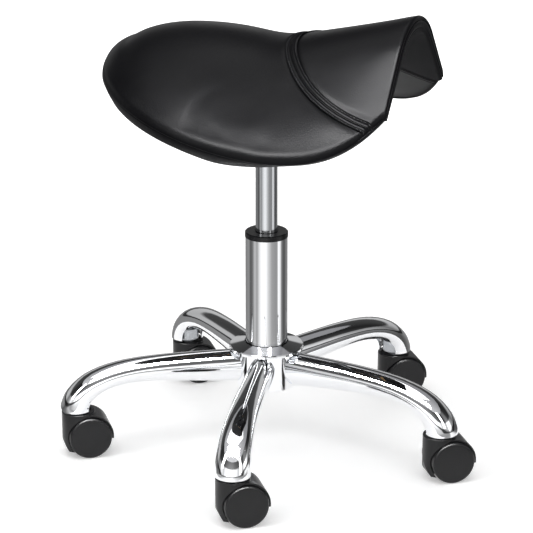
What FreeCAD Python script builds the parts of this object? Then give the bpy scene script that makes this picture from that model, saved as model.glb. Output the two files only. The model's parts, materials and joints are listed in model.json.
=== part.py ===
import FreeCAD
import Part
import math
import os

# Saddle stool on a five-leg base with twin-wheel casters.
# Millimetres. +Z is up, +X is where the rider faces, +Y is the rider's left.
# The origin is on the floor, on the axis of the column.

Vec = FreeCAD.Vector
UP = Vec(0, 0, 1)

# Clearances
running_fit = 0.05        # between a turning pin and its bore, on the radius
press_gap = 0.02          # between pieces that are pressed together
weld_gap = 0.1            # between curved walls that are welded together
seat_gap = 0.3            # between soft layers that lie on each other
foam_gap = 0.9            # between the foam and the layers round it
body_gap = 0.4            # between pieces that move past each other

# Base: hub and legs
leg_count = 5
first_leg_angle = -5.5
leg_circle_radius = 228.0
leg_arm_height = 103.5
hub_radius = 36.0
hub_bottom = 77.5
hub_top = 126.0
hub_spigot_wall = 6.0
hub_overlap = 8.0           # how far a leg reaches in past the hub's face before it is trimmed
hub_spigot_height = 2.8
leg_wall = 2.0
leg_steps = 3
leg_mouth_height = 58.0
leg_mouth_depth = 38.0
leg_mouth_width = 41.0
socket_radius = 13.5
socket_height = 14.0
socket_plate = 2.5
opening_half = 14.0
opening_reach = 44.0
opening_top = 88.0
cover_ring_radius = 44.5
cover_ring_lower_edge = 125.7
cover_ring_wall = 2.0
cover_ring_rise = 4.4

# Column tube
column_radius = 25.0
column_wall = 1.8
column_foot_height = 84.0
column_foot_taper = math.radians(1.4)
column_taper_end = 130.0
column_top = 263.8
column_floor = 3.0

# Guide bush at the top of the column
collar_height = 6.5
collar_overhang = 0.6
bush_length = 74.0
bush_mouth_chamfer = 1.6

# Gas lift
cylinder_radius = 13.0
cylinder_wall = 1.5
cylinder_bottom = 190.0
cylinder_gland = 9.0
cylinder_chamber_top = 392.0
cylinder_taper = math.radians(1.43)
cylinder_taper_start = 392.0
cylinder_top = 430.0
rod_radius = 5.0
rod_foot_height = 80.0
piston_height = 245.0
piston_length = 12.0
piston_ring_height = 3.0
valve_pin_radius = 3.0
valve_pin_length = 26.0
valve_pin_lift = 4.0
bearing_radius = 15.0
bearing_washer = 1.6
bearing_roller = 1.5
bearing_roller_length = 6.0
bearing_roller_count = 8
buffer_radius = 14.0
buffer_length = 12.0
clip_radius = 9.0
clip_thickness = 1.2

# Seat plate, a folded steel tray with a tapered socket under it
plate_top = 448.5
plate_wall = 2.5
plate_length = 150.0
plate_width = 128.0
tray_width = 60.0
tray_depth = 22.0
taper_socket_wall = 3.0
taper_socket_bottom = 386.0
screw_spacing_x = 120.0
screw_spacing_y = 96.0
screw_radius = 3.0
screw_head_radius = 5.5
screw_head_height = 3.5
insert_radius = 4.6
insert_length = 11.0

# Release lever, on the rider's left
lever_radius = 4.0
lever_pivot_y = 22.0
lever_height = 436.9
lever_reach = 176.0
lever_drop = 64.0
lever_bend = 20.0
grip_length = 52.0
grip_width = 22.0
grip_thickness = 9.0

# Saddle form
saddle_length = 373.0
saddle_width = 351.0
tail_reach = 192.0
tail_cut = 1.2
widest_point = 28.0
front_width_loss = 0.426
front_width_power = 2.75
crest_x = -75.0
crest_height = 511.6
dip_x = 12.0
dip_height = 506.2
pommel_height = 540.5
tail_drop = 33.5
rim_low_x = 65.0
rim_low_height = 407.6
rim_tail_rise = 54.5
rim_pommel_rise = 48.0
crown_radius_front = 76.0
crown_radius_tail = 300.0
shoulder_radius = 16.0
band_height = 12.0
band_inset = 7.0
pad_thickness = 50.0
pad_thickness_front = 17.0
pad_thickness_tail = 26.0
skin = 1.5
pan_thickness = 9.0
pan_edge_inset = 9.0
pan_end_inset = 9.0
saddle_steps = 26
seam_centre_x = 158.5
seam_curve_radius = 119.5
seam_width = 10.0
seam_rise = 0.8
lining_seam_x = 180.0
lining_seam_radius = 100.0

# Casters
wheel_radius = 25.5
wheel_width = 15.0
wheel_inner_face = 8.0
wheel_edge_radius = 3.0
wheel_web = 3.0
caster_trail = 11.0
caster_heading = 37.0
axle_radius = 3.0
stem_radius = 5.5
stem_collar_radius = 7.5
stem_foot_height = 32.0
stem_tip_height = 80.0
housing_radius = 20.0
housing_top = 55.5
hood_radius = 28.2
hood_gap = 0.8
hood_half_width = 18.5
web_half_width = 6.8
housing_belly_radius = 31.0

# Derived places
hub_spigot_radius = column_radius + hub_spigot_wall
leg_reach = leg_circle_radius - hub_radius + hub_overlap
saddle_front = saddle_length - tail_reach
half_width_max = saddle_width / 2
collar_top = column_top + collar_height
cylinder_bore = cylinder_radius - cylinder_wall
bearing_floor = column_foot_height + column_floor
tray_bottom = plate_top - tray_depth
axle_height = wheel_radius
leg_angles = [first_leg_angle + 360.0 / leg_count * i for i in range(leg_count)]


def save(name, *solids):
    """Writes one node from its solids."""
    for s in solids:
        if not s.isValid() or s.Volume <= 0:
            print("CHECK", name, s.isValid(), s.Volume)
    shape = solids[0] if len(solids) == 1 else Part.makeCompound(list(solids))
    shape.exportStep("parts/" + name + ".step")
    print(name, len(shape.Solids), round(shape.Volume))


def revolve(points):
    """Turns a closed outline of (radius, height) points about the column axis."""
    wire = Part.makePolygon([Vec(r, 0, z) for r, z in points] + [Vec(points[0][0], 0, points[0][1])])
    return Part.Face(wire).revolve(Vec(0, 0, 0), UP, 360).Solids[0]


def rod(radius, z0, z1, x=0.0, y=0.0):
    return Part.makeCylinder(radius, z1 - z0, Vec(x, y, z0))


def box(x0, x1, y0, y1, z0, z1):
    return Part.makeBox(x1 - x0, y1 - y0, z1 - z0, Vec(x0, y0, z0))


def turned(shape, angle):
    out = shape.copy()
    out.rotate(Vec(0, 0, 0), UP, angle)
    return out


def moved(shape, x, y, z=0.0):
    out = shape.copy()
    out.translate(Vec(x, y, z))
    return out


# Hub and cover ring
def foot_radius(z):
    """Outer radius of the column foot, which tapers down into the hub."""
    return column_radius - max(0.0, column_taper_end - z) * math.tan(column_foot_taper)


def base_hub():
    top = hub_top + hub_spigot_height
    bore_top = foot_radius(top) + weld_gap
    bore_low = foot_radius(hub_bottom) + weld_gap
    edge = 1.5
    return revolve([(bore_low, hub_bottom), (hub_radius - edge, hub_bottom), (hub_radius, hub_bottom + edge),
                    (hub_radius, hub_top - edge), (hub_radius - edge, hub_top), (hub_spigot_radius, hub_top),
                    (hub_spigot_radius, top), (bore_top, top)])


def hub_cover_ring():
    hole = column_radius + 1.4
    low = cover_ring_lower_edge
    r = cover_ring_radius
    t = cover_ring_wall
    rise = cover_ring_rise
    return revolve([(r - t, low - 1.6), (r, low - 1.6), (r, low + 1.2), (r - 1.0, low + t + 0.2),
                    (hole, low + t + rise), (hole, low + rise), (r - t, low)])


# Legs
# Each section across a leg: distance out from the caster's axis, share of the way up from the mouth to the arm,
# lean of the section, depth along the leg's plane, width across it
leg_sections = (
    (-leg_reach, 0.98, 90.0, 40.6, 31.5),
    (-leg_reach * 0.775, 1.0, 90.0, 37.2, 32.0),
    (-leg_reach * 0.55, 1.017, 89.0, 32.8, 33.0),
    (-70.0, 0.985, 84.0, 29.2, 34.5),
    (-41.5, 0.87, 68.0, 28.8, 37.0),
    (-19.0, 0.665, 45.0, 31.0, 39.2),
    (-4.0, 0.375, 21.0, 34.6, 40.6),
    (1.8, 0.12, 5.0, 37.2, leg_mouth_width),
    (2.4, 0.0, 0.0, leg_mouth_depth, leg_mouth_width),
)


def leg_outline(section, inset, slide=0.0):
    """An oval across the leg, set in by the wall where asked: a circle drawn out to the section's two sizes."""
    out, share, lean, tall, wide = section
    radius = leg_circle_radius + out
    height = leg_mouth_height + (leg_arm_height - leg_mouth_height) * share
    a = tall / 2 - inset
    b = wide / 2 - inset
    tilt = math.radians(lean)
    shape = FreeCAD.Matrix(a * math.cos(tilt), 0, 0, radius,
                           0, b, 0, 0,
                           a * math.sin(tilt), 0, 0, height - slide,
                           0, 0, 0, 1)
    front = Part.Arc(Vec(1, 0, 0), Vec(0, 1, 0), Vec(-1, 0, 0)).toShape()
    back = Part.Arc(Vec(-1, 0, 0), Vec(0, -1, 0), Vec(1, 0, 0)).toShape()
    return Part.Wire([front.transformGeometry(shape), back.transformGeometry(shape)])


def leg_section(place):
    """Section at a place along the table above, on a smooth curve through its rows."""
    i = min(int(place), len(leg_sections) - 2)
    t = place - i
    a, b, c, d = [leg_sections[min(max(k, 0), len(leg_sections) - 1)] for k in (i - 1, i, i + 1, i + 2)]
    return tuple(q + 0.5 * t * (r - p + t * (2 * p - 5 * q + 4 * r - s + t * (3 * (q - r) + s - p)))
                 for p, q, r, s in zip(a, b, c, d))


def leg_form(inset, slide=0.0):
    last = len(leg_sections) - 1
    wires = []
    for k in range(leg_steps * last + 1):
        wires.append(leg_outline(leg_section(k / leg_steps), inset, slide if k == leg_steps * last else 0.0))
    return Part.makeLoft(wires, True, True).Solids[0]


def leg_and_socket():
    """One leg along +X and the socket plate that is welded into its end."""
    outer = leg_form(0.0)
    inner = leg_form(leg_wall, 1.0)
    tube = outer.cut(inner)
    tube = tube.cut(rod(hub_radius, hub_bottom - 20, hub_top + 20))
    near = leg_circle_radius - opening_reach
    opening = box(near, leg_circle_radius, -opening_half, opening_half, leg_mouth_height - 5, opening_top)
    nose = rod(opening_half, leg_mouth_height - 20, opening_top, near)
    tube = tube.cut(opening.fuse(nose))
    top = leg_mouth_height + socket_height
    socket = rod(socket_radius, leg_mouth_height, top, leg_circle_radius)
    slab = box(leg_circle_radius - 4, leg_circle_radius + 25, -25, 25, top - socket_plate, top)
    plate = slab.common(leg_form(leg_wall + weld_gap, 1.0))
    socket = socket.fuse(plate)
    socket = socket.cut(rod(stem_radius + running_fit, leg_mouth_height - 1, top + 1, leg_circle_radius))
    ring_low = top - 7.0
    socket = socket.cut(rod(stem_radius + 1.6, ring_low, ring_low + 2.4, leg_circle_radius))
    return max(tube.Solids, key=lambda s: s.Volume), socket.Solids[0]


def grip_ring():
    """Split spring ring that holds the stem in its socket."""
    low = leg_mouth_height + socket_height - 7.0 + 0.3
    ring = rod(stem_radius + 1.4, low, low + 1.8, leg_circle_radius)
    ring = ring.cut(rod(stem_radius - 0.5, low - 1, low + 3, leg_circle_radius))
    return ring.cut(box(leg_circle_radius, leg_circle_radius + 9, -1.2, 1.2, low - 1, low + 3)).Solids[0]


# Column and guide bush
def column_tube():
    wall = column_wall
    foot = column_foot_height
    bend = column_taper_end
    floor = foot + column_floor
    outer = [(foot_radius(foot), foot), (column_radius, bend), (column_radius, column_top)]
    inner = [(column_radius - wall, column_top), (column_radius - wall, bend),
             (foot_radius(floor) - wall, floor), (rod_radius + press_gap, floor),
             (rod_radius + press_gap, foot)]
    return revolve(outer + inner)


def guide_bush():
    bore = cylinder_radius + running_fit
    sleeve = column_radius - column_wall - press_gap
    low = column_top - bush_length
    lip = column_radius + collar_overhang
    edge = 1.0
    c = bush_mouth_chamfer
    return revolve([(bore, low), (sleeve - 3, low), (sleeve, low + 6), (sleeve, column_top),
                    (lip, column_top), (lip, collar_top - edge), (lip - edge, collar_top),
                    (bore + c, collar_top), (bore, collar_top - c)])


# Gas lift
def taper_radius(z):
    """Radius of the cylinder's top, which tapers into the socket of the seat plate."""
    return cylinder_radius - max(0.0, z - cylinder_taper_start) * math.tan(cylinder_taper)


def gas_cylinder():
    bore = cylinder_bore
    low = cylinder_bottom
    seal_room = 9.5
    pin_bore = valve_pin_radius + running_fit
    pin_floor = cylinder_top - valve_pin_length + valve_pin_lift - 3.5
    return revolve([(rod_radius + running_fit, low), (cylinder_radius - 1, low), (cylinder_radius, low + 1),
                    (cylinder_radius, cylinder_taper_start), (taper_radius(cylinder_top), cylinder_top),
                    (pin_bore, cylinder_top), (pin_bore, pin_floor), (1.5, pin_floor - 1.5),
                    (1.5, cylinder_chamber_top), (bore, cylinder_chamber_top), (bore, low + cylinder_gland),
                    (rod_radius + running_fit, low + cylinder_gland), (rod_radius + running_fit, low + 7),
                    (seal_room, low + 7), (seal_room, low + 3), (rod_radius + running_fit, low + 3)])


def rod_seal():
    low = cylinder_bottom + 3 + press_gap
    return rod(9.5 - press_gap, low, low + 3.9).cut(rod(rod_radius + running_fit, low - 1, low + 9))


def piston_rod():
    top = piston_height + piston_length
    groove_low = column_foot_height - clip_thickness - 0.2
    r = rod_radius
    g = r - 1.0
    return revolve([(0, rod_foot_height), (r - 0.8, rod_foot_height), (r, rod_foot_height + 0.8),
                    (r, groove_low), (g, groove_low), (g, column_foot_height - 0.05),
                    (r, column_foot_height - 0.05), (r, piston_height - 2), (r - 1.5, piston_height - 2),
                    (r - 1.5, top + 1.0), (0, top + 1.0)])


def piston():
    r = cylinder_bore - running_fit
    low = piston_height
    top = low + piston_length
    mid = (low + top) / 2
    g = r - 2.2
    h = piston_ring_height / 2
    body = revolve([(0, low - 2 + 0.02), (7, low - 2 + 0.02), (r, low), (r, mid - h), (g, mid - h), (g, mid + h),
                    (r, mid + h), (r, top - 1), (r - 1, top), (0, top)])
    return body.cut(rod(rod_radius - 1.5 + press_gap, low - 5, top + 5)).Solids[0]


def piston_ring():
    mid = piston_height + piston_length / 2
    h = piston_ring_height / 2 - press_gap
    outer = rod(cylinder_bore - running_fit / 2, mid - h, mid + h)
    return outer.cut(rod(cylinder_bore - running_fit - 2.2 + press_gap, mid - 5, mid + 5))


def rod_clip():
    low = column_foot_height - clip_thickness - 0.1
    ring = rod(clip_radius, low, low + clip_thickness).cut(rod(rod_radius - 1.0 + 0.05, low - 1, low + 5))
    return ring.cut(box(0, clip_radius + 1, -2.4, 2.4, low - 1, low + 5)).Solids[0]


def thrust_bearing():
    """Lower washer, a ring of rollers that point at the axis, and upper washer."""
    low = bearing_floor + press_gap
    roller_z = low + bearing_washer + bearing_roller + press_gap
    upper_low = roller_z + bearing_roller + running_fit
    hole = rod(rod_radius + running_fit, low - 1, upper_low + 9)
    lower = rod(bearing_radius, low, low + bearing_washer).cut(hole)
    upper = rod(bearing_radius, upper_low, upper_low + bearing_washer).cut(hole)
    rollers = []
    for i in range(bearing_roller_count):
        a = 2 * math.pi * i / bearing_roller_count
        out = Vec(math.cos(a), math.sin(a), 0)
        start = out * (bearing_radius - 1.5 - bearing_roller_length) + Vec(0, 0, roller_z)
        rollers.append(Part.makeCylinder(bearing_roller, bearing_roller_length, start, out))
    return lower, upper, rollers, upper_low + bearing_washer


def rubber_buffer(z):
    outer = revolve([(rod_radius + 0.1, z), (buffer_radius, z), (buffer_radius - 1.5, z + buffer_length / 2),
                     (buffer_radius - 0.5, z + buffer_length - 1), (buffer_radius - 1.5, z + buffer_length),
                     (rod_radius + 0.1, z + buffer_length)])
    return outer


def valve_pin():
    top = cylinder_top + valve_pin_lift
    low = top - valve_pin_length
    r = valve_pin_radius
    return revolve([(0, low), (r - 0.6, low), (r, low + 0.6), (r, top - 0.8), (r - 0.8, top), (0, top)])


# Seat plate
def screw_places():
    half_x = screw_spacing_x / 2
    half_y = screw_spacing_y / 2
    return [(sx * half_x, sy * half_y) for sx in (-1, 1) for sy in (-1, 1)]


def tray_profile(inset):
    """Closed hat outline across the plate, its fold lines square."""
    half = plate_width / 2
    web = tray_width / 2
    t = plate_wall
    top = plate_top
    low = tray_bottom
    return [(-half, top), (-half, top - t), (-web - t, top - t), (-web - t, low - t), (web + t, low - t),
            (web + t, top - t), (half, top - t), (half, top), (web, top), (web, low), (-web, low), (-web, top)]


def seat_plate():
    points = [Vec(-plate_length / 2, y, z) for y, z in tray_profile(0)]
    face = Part.Face(Part.makePolygon(points + [points[0]]))
    tray = face.extrude(Vec(plate_length, 0, 0))
    fold = [e for e in tray.Edges if e.Length > plate_length - 1 and abs(abs(e.CenterOfMass.y)
            - (tray_width / 2 + plate_wall)) < 1e-3 and abs(e.CenterOfMass.z - (tray_bottom - plate_wall)) < 1e-3]
    tray = tray.makeFillet(plate_wall, fold)
    bore_top = taper_radius(tray_bottom + 1) + press_gap
    bore_low = taper_radius(taper_socket_bottom) + press_gap
    wall = taper_socket_wall
    socket = revolve([(0, taper_socket_bottom), (bore_low + wall, taper_socket_bottom),
                      (bore_top + wall + 1.5, tray_bottom - plate_wall), (bore_top + wall, tray_bottom),
                      (0, tray_bottom)])
    body = tray.fuse(socket)
    low = taper_socket_bottom - 10
    high = cylinder_top + 10
    kink = cylinder_taper_start
    body = body.cut(revolve([(0, low), (taper_radius(low) + press_gap, low), (taper_radius(kink) + press_gap, kink),
                             (taper_radius(high) + press_gap, high), (0, high)]))
    for x, y in screw_places():
        body = body.cut(rod(screw_radius + 0.3, plate_top - 10, plate_top + 5, x, y))
    slot = box(-8, 8, tray_width / 2 - 3, tray_width / 2 + plate_wall + 2, tray_bottom + 2, plate_top - 1)
    body = body.cut(slot)
    lug_gap = lever_radius + body_gap
    for side in (-1, 1):
        x0 = side * lug_gap
        x1 = side * (lug_gap + 2.5)
        lug = box(min(x0, x1), max(x0, x1), lever_pivot_y - 5, lever_pivot_y + 5, tray_bottom - 0.5, lever_height + 5)
        body = body.fuse(lug)
    body = body.cut(Part.makeCylinder(2.0 + running_fit, 30, Vec(-15, lever_pivot_y, lever_height), Vec(1, 0, 0)))
    return body.Solids[0]


def lever_pivot_pin():
    half = lever_radius + body_gap + 2.5 + 1.0
    return Part.makeCylinder(2.0, 2 * half, Vec(-half, lever_pivot_y, lever_height), Vec(1, 0, 0))


def lever_bar(radius):
    """Bar from over the valve pin, past its pivot and out to the grip, with two easy bends."""
    z = lever_height
    a = Vec(0, -4.0, z)
    b = Vec(0, lever_reach - 110, z)
    c = Vec(0, lever_reach - 48, z - lever_drop)
    d = Vec(0, lever_reach, z - lever_drop - 2)
    return pipe(rounded_path([a, b, c, d], lever_bend), radius)


def release_lever():
    z = lever_height
    bar = lever_bar(lever_radius)
    flat = box(-6, 6, -12, lever_pivot_y - 8, z - 9, z - lever_radius + 1.2)
    bar = bar.cut(flat)
    bar = bar.cut(Part.makeCylinder(2.0 + running_fit, 30, Vec(-15, lever_pivot_y, z), Vec(1, 0, 0)))
    return bar.Solids[0]


def rounded_path(points, radius):
    """Straight runs joined by tangent arcs."""
    edges = []
    here = points[0]
    for i in range(1, len(points) - 1):
        before = (points[i - 1] - points[i]).normalize()
        after = (points[i + 1] - points[i]).normalize()
        half = before.getAngle(after) / 2
        back = radius / math.tan(half)
        p = points[i] + before * back
        q = points[i] + after * back
        middle = (before + after).normalize()
        centre = points[i] + middle * (radius / math.sin(half))
        mid = centre - middle * radius
        edges.append(Part.LineSegment(here, p).toShape())
        edges.append(Part.Arc(p, mid, q).toShape())
        here = q
    edges.append(Part.LineSegment(here, points[-1]).toShape())
    return Part.Wire(edges)


def pipe(path, radius):
    start = path.Edges[0].valueAt(path.Edges[0].FirstParameter)
    way = path.Edges[0].tangentAt(path.Edges[0].FirstParameter)
    ring = Part.Wire(Part.makeCircle(radius, start, way))
    return path.makePipeShell([ring], True, False).Solids[0]


def lever_grip():
    """Flat moulded paddle on the end of the bar."""
    y1 = lever_reach + 14
    y0 = y1 - grip_length
    z = lever_height - lever_drop - 1
    half = grip_width / 2
    body = box(-half, half, y0, y1, z - grip_thickness / 2 - 2, z + grip_thickness / 2 + 2)
    long_edges = [e for e in body.Edges if e.Length > grip_length - 1]
    body = body.makeFillet(grip_thickness * 0.42, long_edges)
    return biggest(body.cut(lever_bar(lever_radius + weld_gap)))


# Saddle form
def half_width(x):
    """Half of the seat's width at x: an ellipse behind the widest point, a slow curve before it."""
    if x < widest_point:
        share = (widest_point - x) / (widest_point + tail_reach)
        return half_width_max * math.sqrt(max(0.0, 1 - share ** 2))
    share = (x - widest_point) / (saddle_front - widest_point)
    return half_width_max * (1 - front_width_loss * share ** front_width_power)


def ridge_height(x):
    """Height of the middle line: tail, crest, dip and pommel."""
    if x < crest_x:
        share = (crest_x - x) / (crest_x + tail_reach)
        return crest_height - tail_drop * share ** 2.6
    if x < dip_x:
        share = (x - crest_x) / (dip_x - crest_x)
        return crest_height + (dip_height - crest_height) * share * share * (3 - 2 * share)
    share = (x - dip_x) / (saddle_front - dip_x)
    return dip_height + (pommel_height - dip_height) * 1.12 * share ** 2 / (share + 0.12)


def rim_height(x):
    """Height of the seam round the edge."""
    if x < rim_low_x:
        share = (rim_low_x - x) / (rim_low_x + tail_reach)
        return rim_low_height + rim_tail_rise * share ** 1.5
    share = (x - rim_low_x) / (saddle_front - rim_low_x)
    return rim_low_height + rim_pommel_rise * share ** 3.4


def crown_radius(x):
    share = min(1.0, (saddle_front - x) / (saddle_front - crest_x * 1.75))
    return crown_radius_front + (crown_radius_tail - crown_radius_front) * share ** 1.5


def blend(a, b, share):
    share = min(1.0, max(0.0, share))
    return a + (b - a) * share * share * (3 - 2 * share)


def thickness(x):
    """Depth of the pad on its middle line."""
    if x < crest_x:
        return blend(pad_thickness, pad_thickness_tail, (crest_x - x) / (crest_x + tail_reach))
    return blend(pad_thickness, pad_thickness_front, (x - 62) / (saddle_front - 62))


def crown_and_flank(width, drop, crown, shoulder, least_flank):
    """Crown arc, straight flank and shoulder arc down to an upright tangent.

    The flank is the line that touches both circles. Where the crown is too large for the width, it is made smaller.
    """
    a = width - shoulder
    least = least_flank * width
    largest = (a * a + drop * drop - shoulder * shoulder - least * least) / (2 * (drop - shoulder))
    crown = min(crown, largest)
    b = drop - crown
    k = crown - shoulder
    flank = math.sqrt(a * a + b * b - k * k)
    slope = math.atan2(b, a) + math.atan2(k, flank)
    return crown, flank, slope


class Section:
    """Outline of the seat across one place of its length."""

    def __init__(self, x):
        self.x = x
        width = half_width(x)
        ridge = ridge_height(x)
        rim = rim_height(x)
        drop = ridge - rim
        shoulder = min(shoulder_radius, 0.4 * width, 0.5 * drop)
        self.ridge = ridge
        self.rim = rim
        self.width = width
        self.shoulder = shoulder
        self.crown, self.flank, self.slope = crown_and_flank(width, drop, crown_radius(x), shoulder, 0.12)
        self.under = ridge - thickness(x)
        self.foot_y = width - min(band_inset, 0.25 * width)
        self.foot_z = rim - min(band_height, 0.5 * drop)
        under_drop = self.under - self.foot_z
        wide = 280.0 if x < dip_x else blend(280.0, crown_radius_front - pad_thickness_front,
                                             (x - dip_x) / (saddle_front - dip_x))
        self.under_crown, self.under_flank, self.under_slope = crown_and_flank(self.foot_y, under_drop, wide, 0.0, 0.35)

    def top(self, inset):
        """Points of the half outline from the middle to the rim: crown end, flank end, shoulder end."""
        r = self.crown - inset
        s = self.slope
        cz = self.ridge - self.crown
        mid1 = (r * math.sin(s / 2), cz + r * math.cos(s / 2))
        p1 = (r * math.sin(s), cz + r * math.cos(s))
        p2 = (p1[0] + self.flank * math.cos(s), p1[1] - self.flank * math.sin(s))
        e = self.shoulder - inset
        sy = self.width - self.shoulder
        sz = self.rim
        half = (s + math.pi / 2) / 2
        mid2 = (sy + e * math.sin(half), sz + e * math.cos(half))
        p3 = (sy + e, sz)
        return mid1, p1, p2, mid2, p3

    def below(self, inset):
        """Points of the half underside: crown end and flank end, moved outward by inset."""
        r = self.under_crown + inset
        s = self.under_slope
        cz = self.under - self.under_crown
        mid1 = (r * math.sin(s / 2), cz + r * math.cos(s / 2))
        p1 = (r * math.sin(s), cz + r * math.cos(s))
        p2 = (p1[0] + self.under_flank * math.cos(s), p1[1] - self.under_flank * math.sin(s))
        return mid1, p1, p2

    def crown_middle(self, inset):
        return (0.0, self.ridge - inset)

    def below_middle(self, inset):
        return (0.0, self.under + inset)


def arc(p, q, r):
    return Part.Arc(p, q, r).toShape()


def line(p, q):
    return Part.makeLine(p, q)


def curve_points(section, half, middle):
    """Points of a whole outline from the left rim to the right rim."""
    x = section.x
    right = [Vec(x, y, z) for y, z in half]
    left = [Vec(x, -y, z) for y, z in half]
    return left, Vec(x, 0, middle[1]), right


def top_edges(section, inset):
    """Edges over the top from one rim to the other."""
    left, mid, right = curve_points(section, section.top(inset), section.crown_middle(inset))
    return [arc(left[4], left[3], left[2]), line(left[2], left[1]), arc(left[1], mid, right[1]),
            line(right[1], right[2]), arc(right[2], right[3], right[4])], left[4], right[4]


def below_edges(section, inset, shorten=0.0):
    """Edges along the underside from the right edge back to the left edge."""
    half = list(section.below(inset))
    if shorten:
        s = section.under_slope
        y, z = half[2]
        half[2] = (y - shorten * math.cos(s), z + shorten * math.sin(s))
    left, mid, right = curve_points(section, half, section.below_middle(inset))
    return [line(right[2], right[1]), arc(right[1], mid, left[1]), line(left[1], left[2])], left[2], right[2]


def reversed_edges(edges):
    out = []
    for e in reversed(edges):
        a = e.Vertexes[0].Point
        b = e.Vertexes[-1].Point
        if isinstance(e.Curve, Part.Line):
            out.append(line(b, a))
        else:
            out.append(arc(b, e.valueAt((e.FirstParameter + e.LastParameter) / 2), a))
    return out


def stations():
    """Places along the seat where it is drawn, closer together at its ends."""
    first = -tail_reach + tail_cut
    last = saddle_front
    return [first + (last - first) * (1 - math.cos(math.pi * i / saddle_steps)) / 2 for i in range(saddle_steps + 1)]


def loft(wires):
    shape = Part.makeLoft(wires, True, True)
    solid = shape.Solids[0]
    if solid.Volume < 0:
        solid.reverse()
    return solid


def skin_over(outer, inner):
    """Skin over the top between two insets."""
    wires = []
    for x in stations():
        s = Section(x)
        over, left_out, right_out = top_edges(s, outer)
        under, left_in, right_in = top_edges(s, inner)
        wires.append(Part.Wire(over + [line(right_out, right_in)] + reversed_edges(under) + [line(left_in, left_out)]))
    return loft(wires)


def between(shape, tail_inset, front_inset):
    """The part of a seat layer between its two ends, set in from them."""
    first = -tail_reach + tail_cut
    return shape.common(box(first + tail_inset, saddle_front - front_inset, -300, 300, 300, 700))


def slab_below(low, high, shorten):
    """Layer along the underside between two insets, with its edges drawn in."""
    wires = []
    for x in stations():
        s = Section(x)
        lower, left_low, right_low = below_edges(s, low, shorten)
        upper, left_up, right_up = below_edges(s, high, shorten)
        wires.append(Part.Wire(reversed_edges(lower) + [line(right_low, right_up)] + upper
                               + [line(left_up, left_low)]))
    return loft(wires)


def pad_body(inset):
    """Everything inside the cover, set in from it."""
    wires = []
    for x in stations():
        s = Section(x)
        over, left_rim, right_rim = top_edges(s, inset)
        under, left_foot, right_foot = below_edges(s, inset, (inset + 1.0) / max(0.5, math.cos(s.under_slope)))
        wires.append(Part.Wire(over + [line(right_rim, right_foot)] + under + [line(left_foot, left_rim)]))
    return loft(wires)


def band_side(side):
    """Side band on one side, from the rim seam down to the lining."""
    wires = []
    for x in stations():
        s = Section(x)
        low = s.foot_z + skin + 1.2 * foam_gap
        high = s.rim - 0.1
        share = (low - s.foot_z) / (s.rim - s.foot_z)
        foot_y = s.foot_y + (s.width - s.foot_y) * share
        a = Vec(x, side * s.width, high)
        b = Vec(x, side * foot_y, low)
        c = Vec(x, side * (foot_y - skin), low)
        d = Vec(x, side * (s.width - skin), high)
        wires.append(Part.makePolygon([a, b, c, d, a]))
    return loft(wires)


def biggest(shape):
    return max(shape.Solids, key=lambda s: s.Volume)


def plate_opening():
    """Room in the lining for the packing block and the plate."""
    half_x = plate_length / 2 + 4
    half_y = plate_width / 2 + 4
    return box(-half_x, half_x, -half_y, half_y, 380, 480)


def seat_layers():
    cover = skin_over(0.0, skin)
    split = seat_gap / 2
    front_tool = rod(seam_curve_radius - split, 350, 600, seam_centre_x)
    rear_tool = rod(seam_curve_radius + split, 350, 600, seam_centre_x)
    front_panel = biggest(cover.common(front_tool))
    rear_panel = biggest(cover.cut(rear_tool))
    save("front_cover_panel", front_panel)
    save("rear_cover_panel", rear_panel)

    raised = skin_over(-seam_rise, -0.1)
    half = seam_width / 2
    welts = []
    for near, far in ((0.5, half), (-half, -0.5)):
        ring = rod(seam_curve_radius + far, 350, 600, seam_centre_x)
        ring = ring.cut(rod(seam_curve_radius + near, 349, 601, seam_centre_x))
        welts.append(biggest(raised.common(ring)))
    save("seam_strips", *welts)

    body = pad_body(skin + foam_gap)
    front = biggest(body.common(box(saddle_front - skin, saddle_front + 9, -300, 300, 300, 700)))
    tail = biggest(body.common(box(-tail_reach - 9, -tail_reach + tail_cut + skin, -300, 300, 300, 700)))
    save("side_band", band_side(1), band_side(-1), front, tail)

    lining = slab_below(0.0, skin, 0.0)
    lining = lining.cut(plate_opening())
    tool = rod(lining_seam_radius, 350, 600, lining_seam_x)
    wide_tool = rod(lining_seam_radius + seat_gap, 350, 600, lining_seam_x)
    save("arch_lining", biggest(lining.common(tool)))
    save("bottom_cover", biggest(lining.cut(wide_tool)))

    pan_low = skin + seat_gap
    pan_high = pan_low + pan_thickness
    pan = slab_below(pan_low, pan_high, pan_edge_inset)
    pan = biggest(between(pan, pan_end_inset, pan_end_inset))
    pan_room = slab_below(pan_low - 2 * seat_gap, pan_high + seat_gap, pan_edge_inset - seat_gap)
    pan_room = between(pan_room, pan_end_inset - seat_gap, pan_end_inset - seat_gap)
    foam = between(body, skin + seat_gap, skin + seat_gap)
    foam = biggest(foam.cut(pan_room))

    block = box(-plate_length / 2, plate_length / 2, -plate_width / 2, plate_width / 2, plate_top, plate_top + 60)
    block = block.common(pad_under_pan(pan_low))
    block = biggest(block)
    for x, y in screw_places():
        hole = rod(insert_radius + press_gap, plate_top - 1, plate_top + insert_length + 0.5, x, y)
        pan = pan.cut(hole)
        block = block.cut(hole)
        foam = foam.cut(hole)
    save("seat_foam", biggest(foam))
    save("seat_pan", biggest(pan))
    save("packing_block", biggest(block))


def pad_under_pan(level):
    """Space below the pan, down to a flat floor."""
    wires = []
    for x in stations():
        s = Section(x)
        lower, left_low, right_low = below_edges(s, level - seat_gap, pan_edge_inset)
        floor_left = Vec(x, left_low.y, 380)
        floor_right = Vec(x, right_low.y, 380)
        wires.append(Part.Wire([line(floor_left, floor_right), line(floor_right, right_low)] + lower
                               + [line(left_low, floor_left)]))
    return loft(wires)


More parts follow.
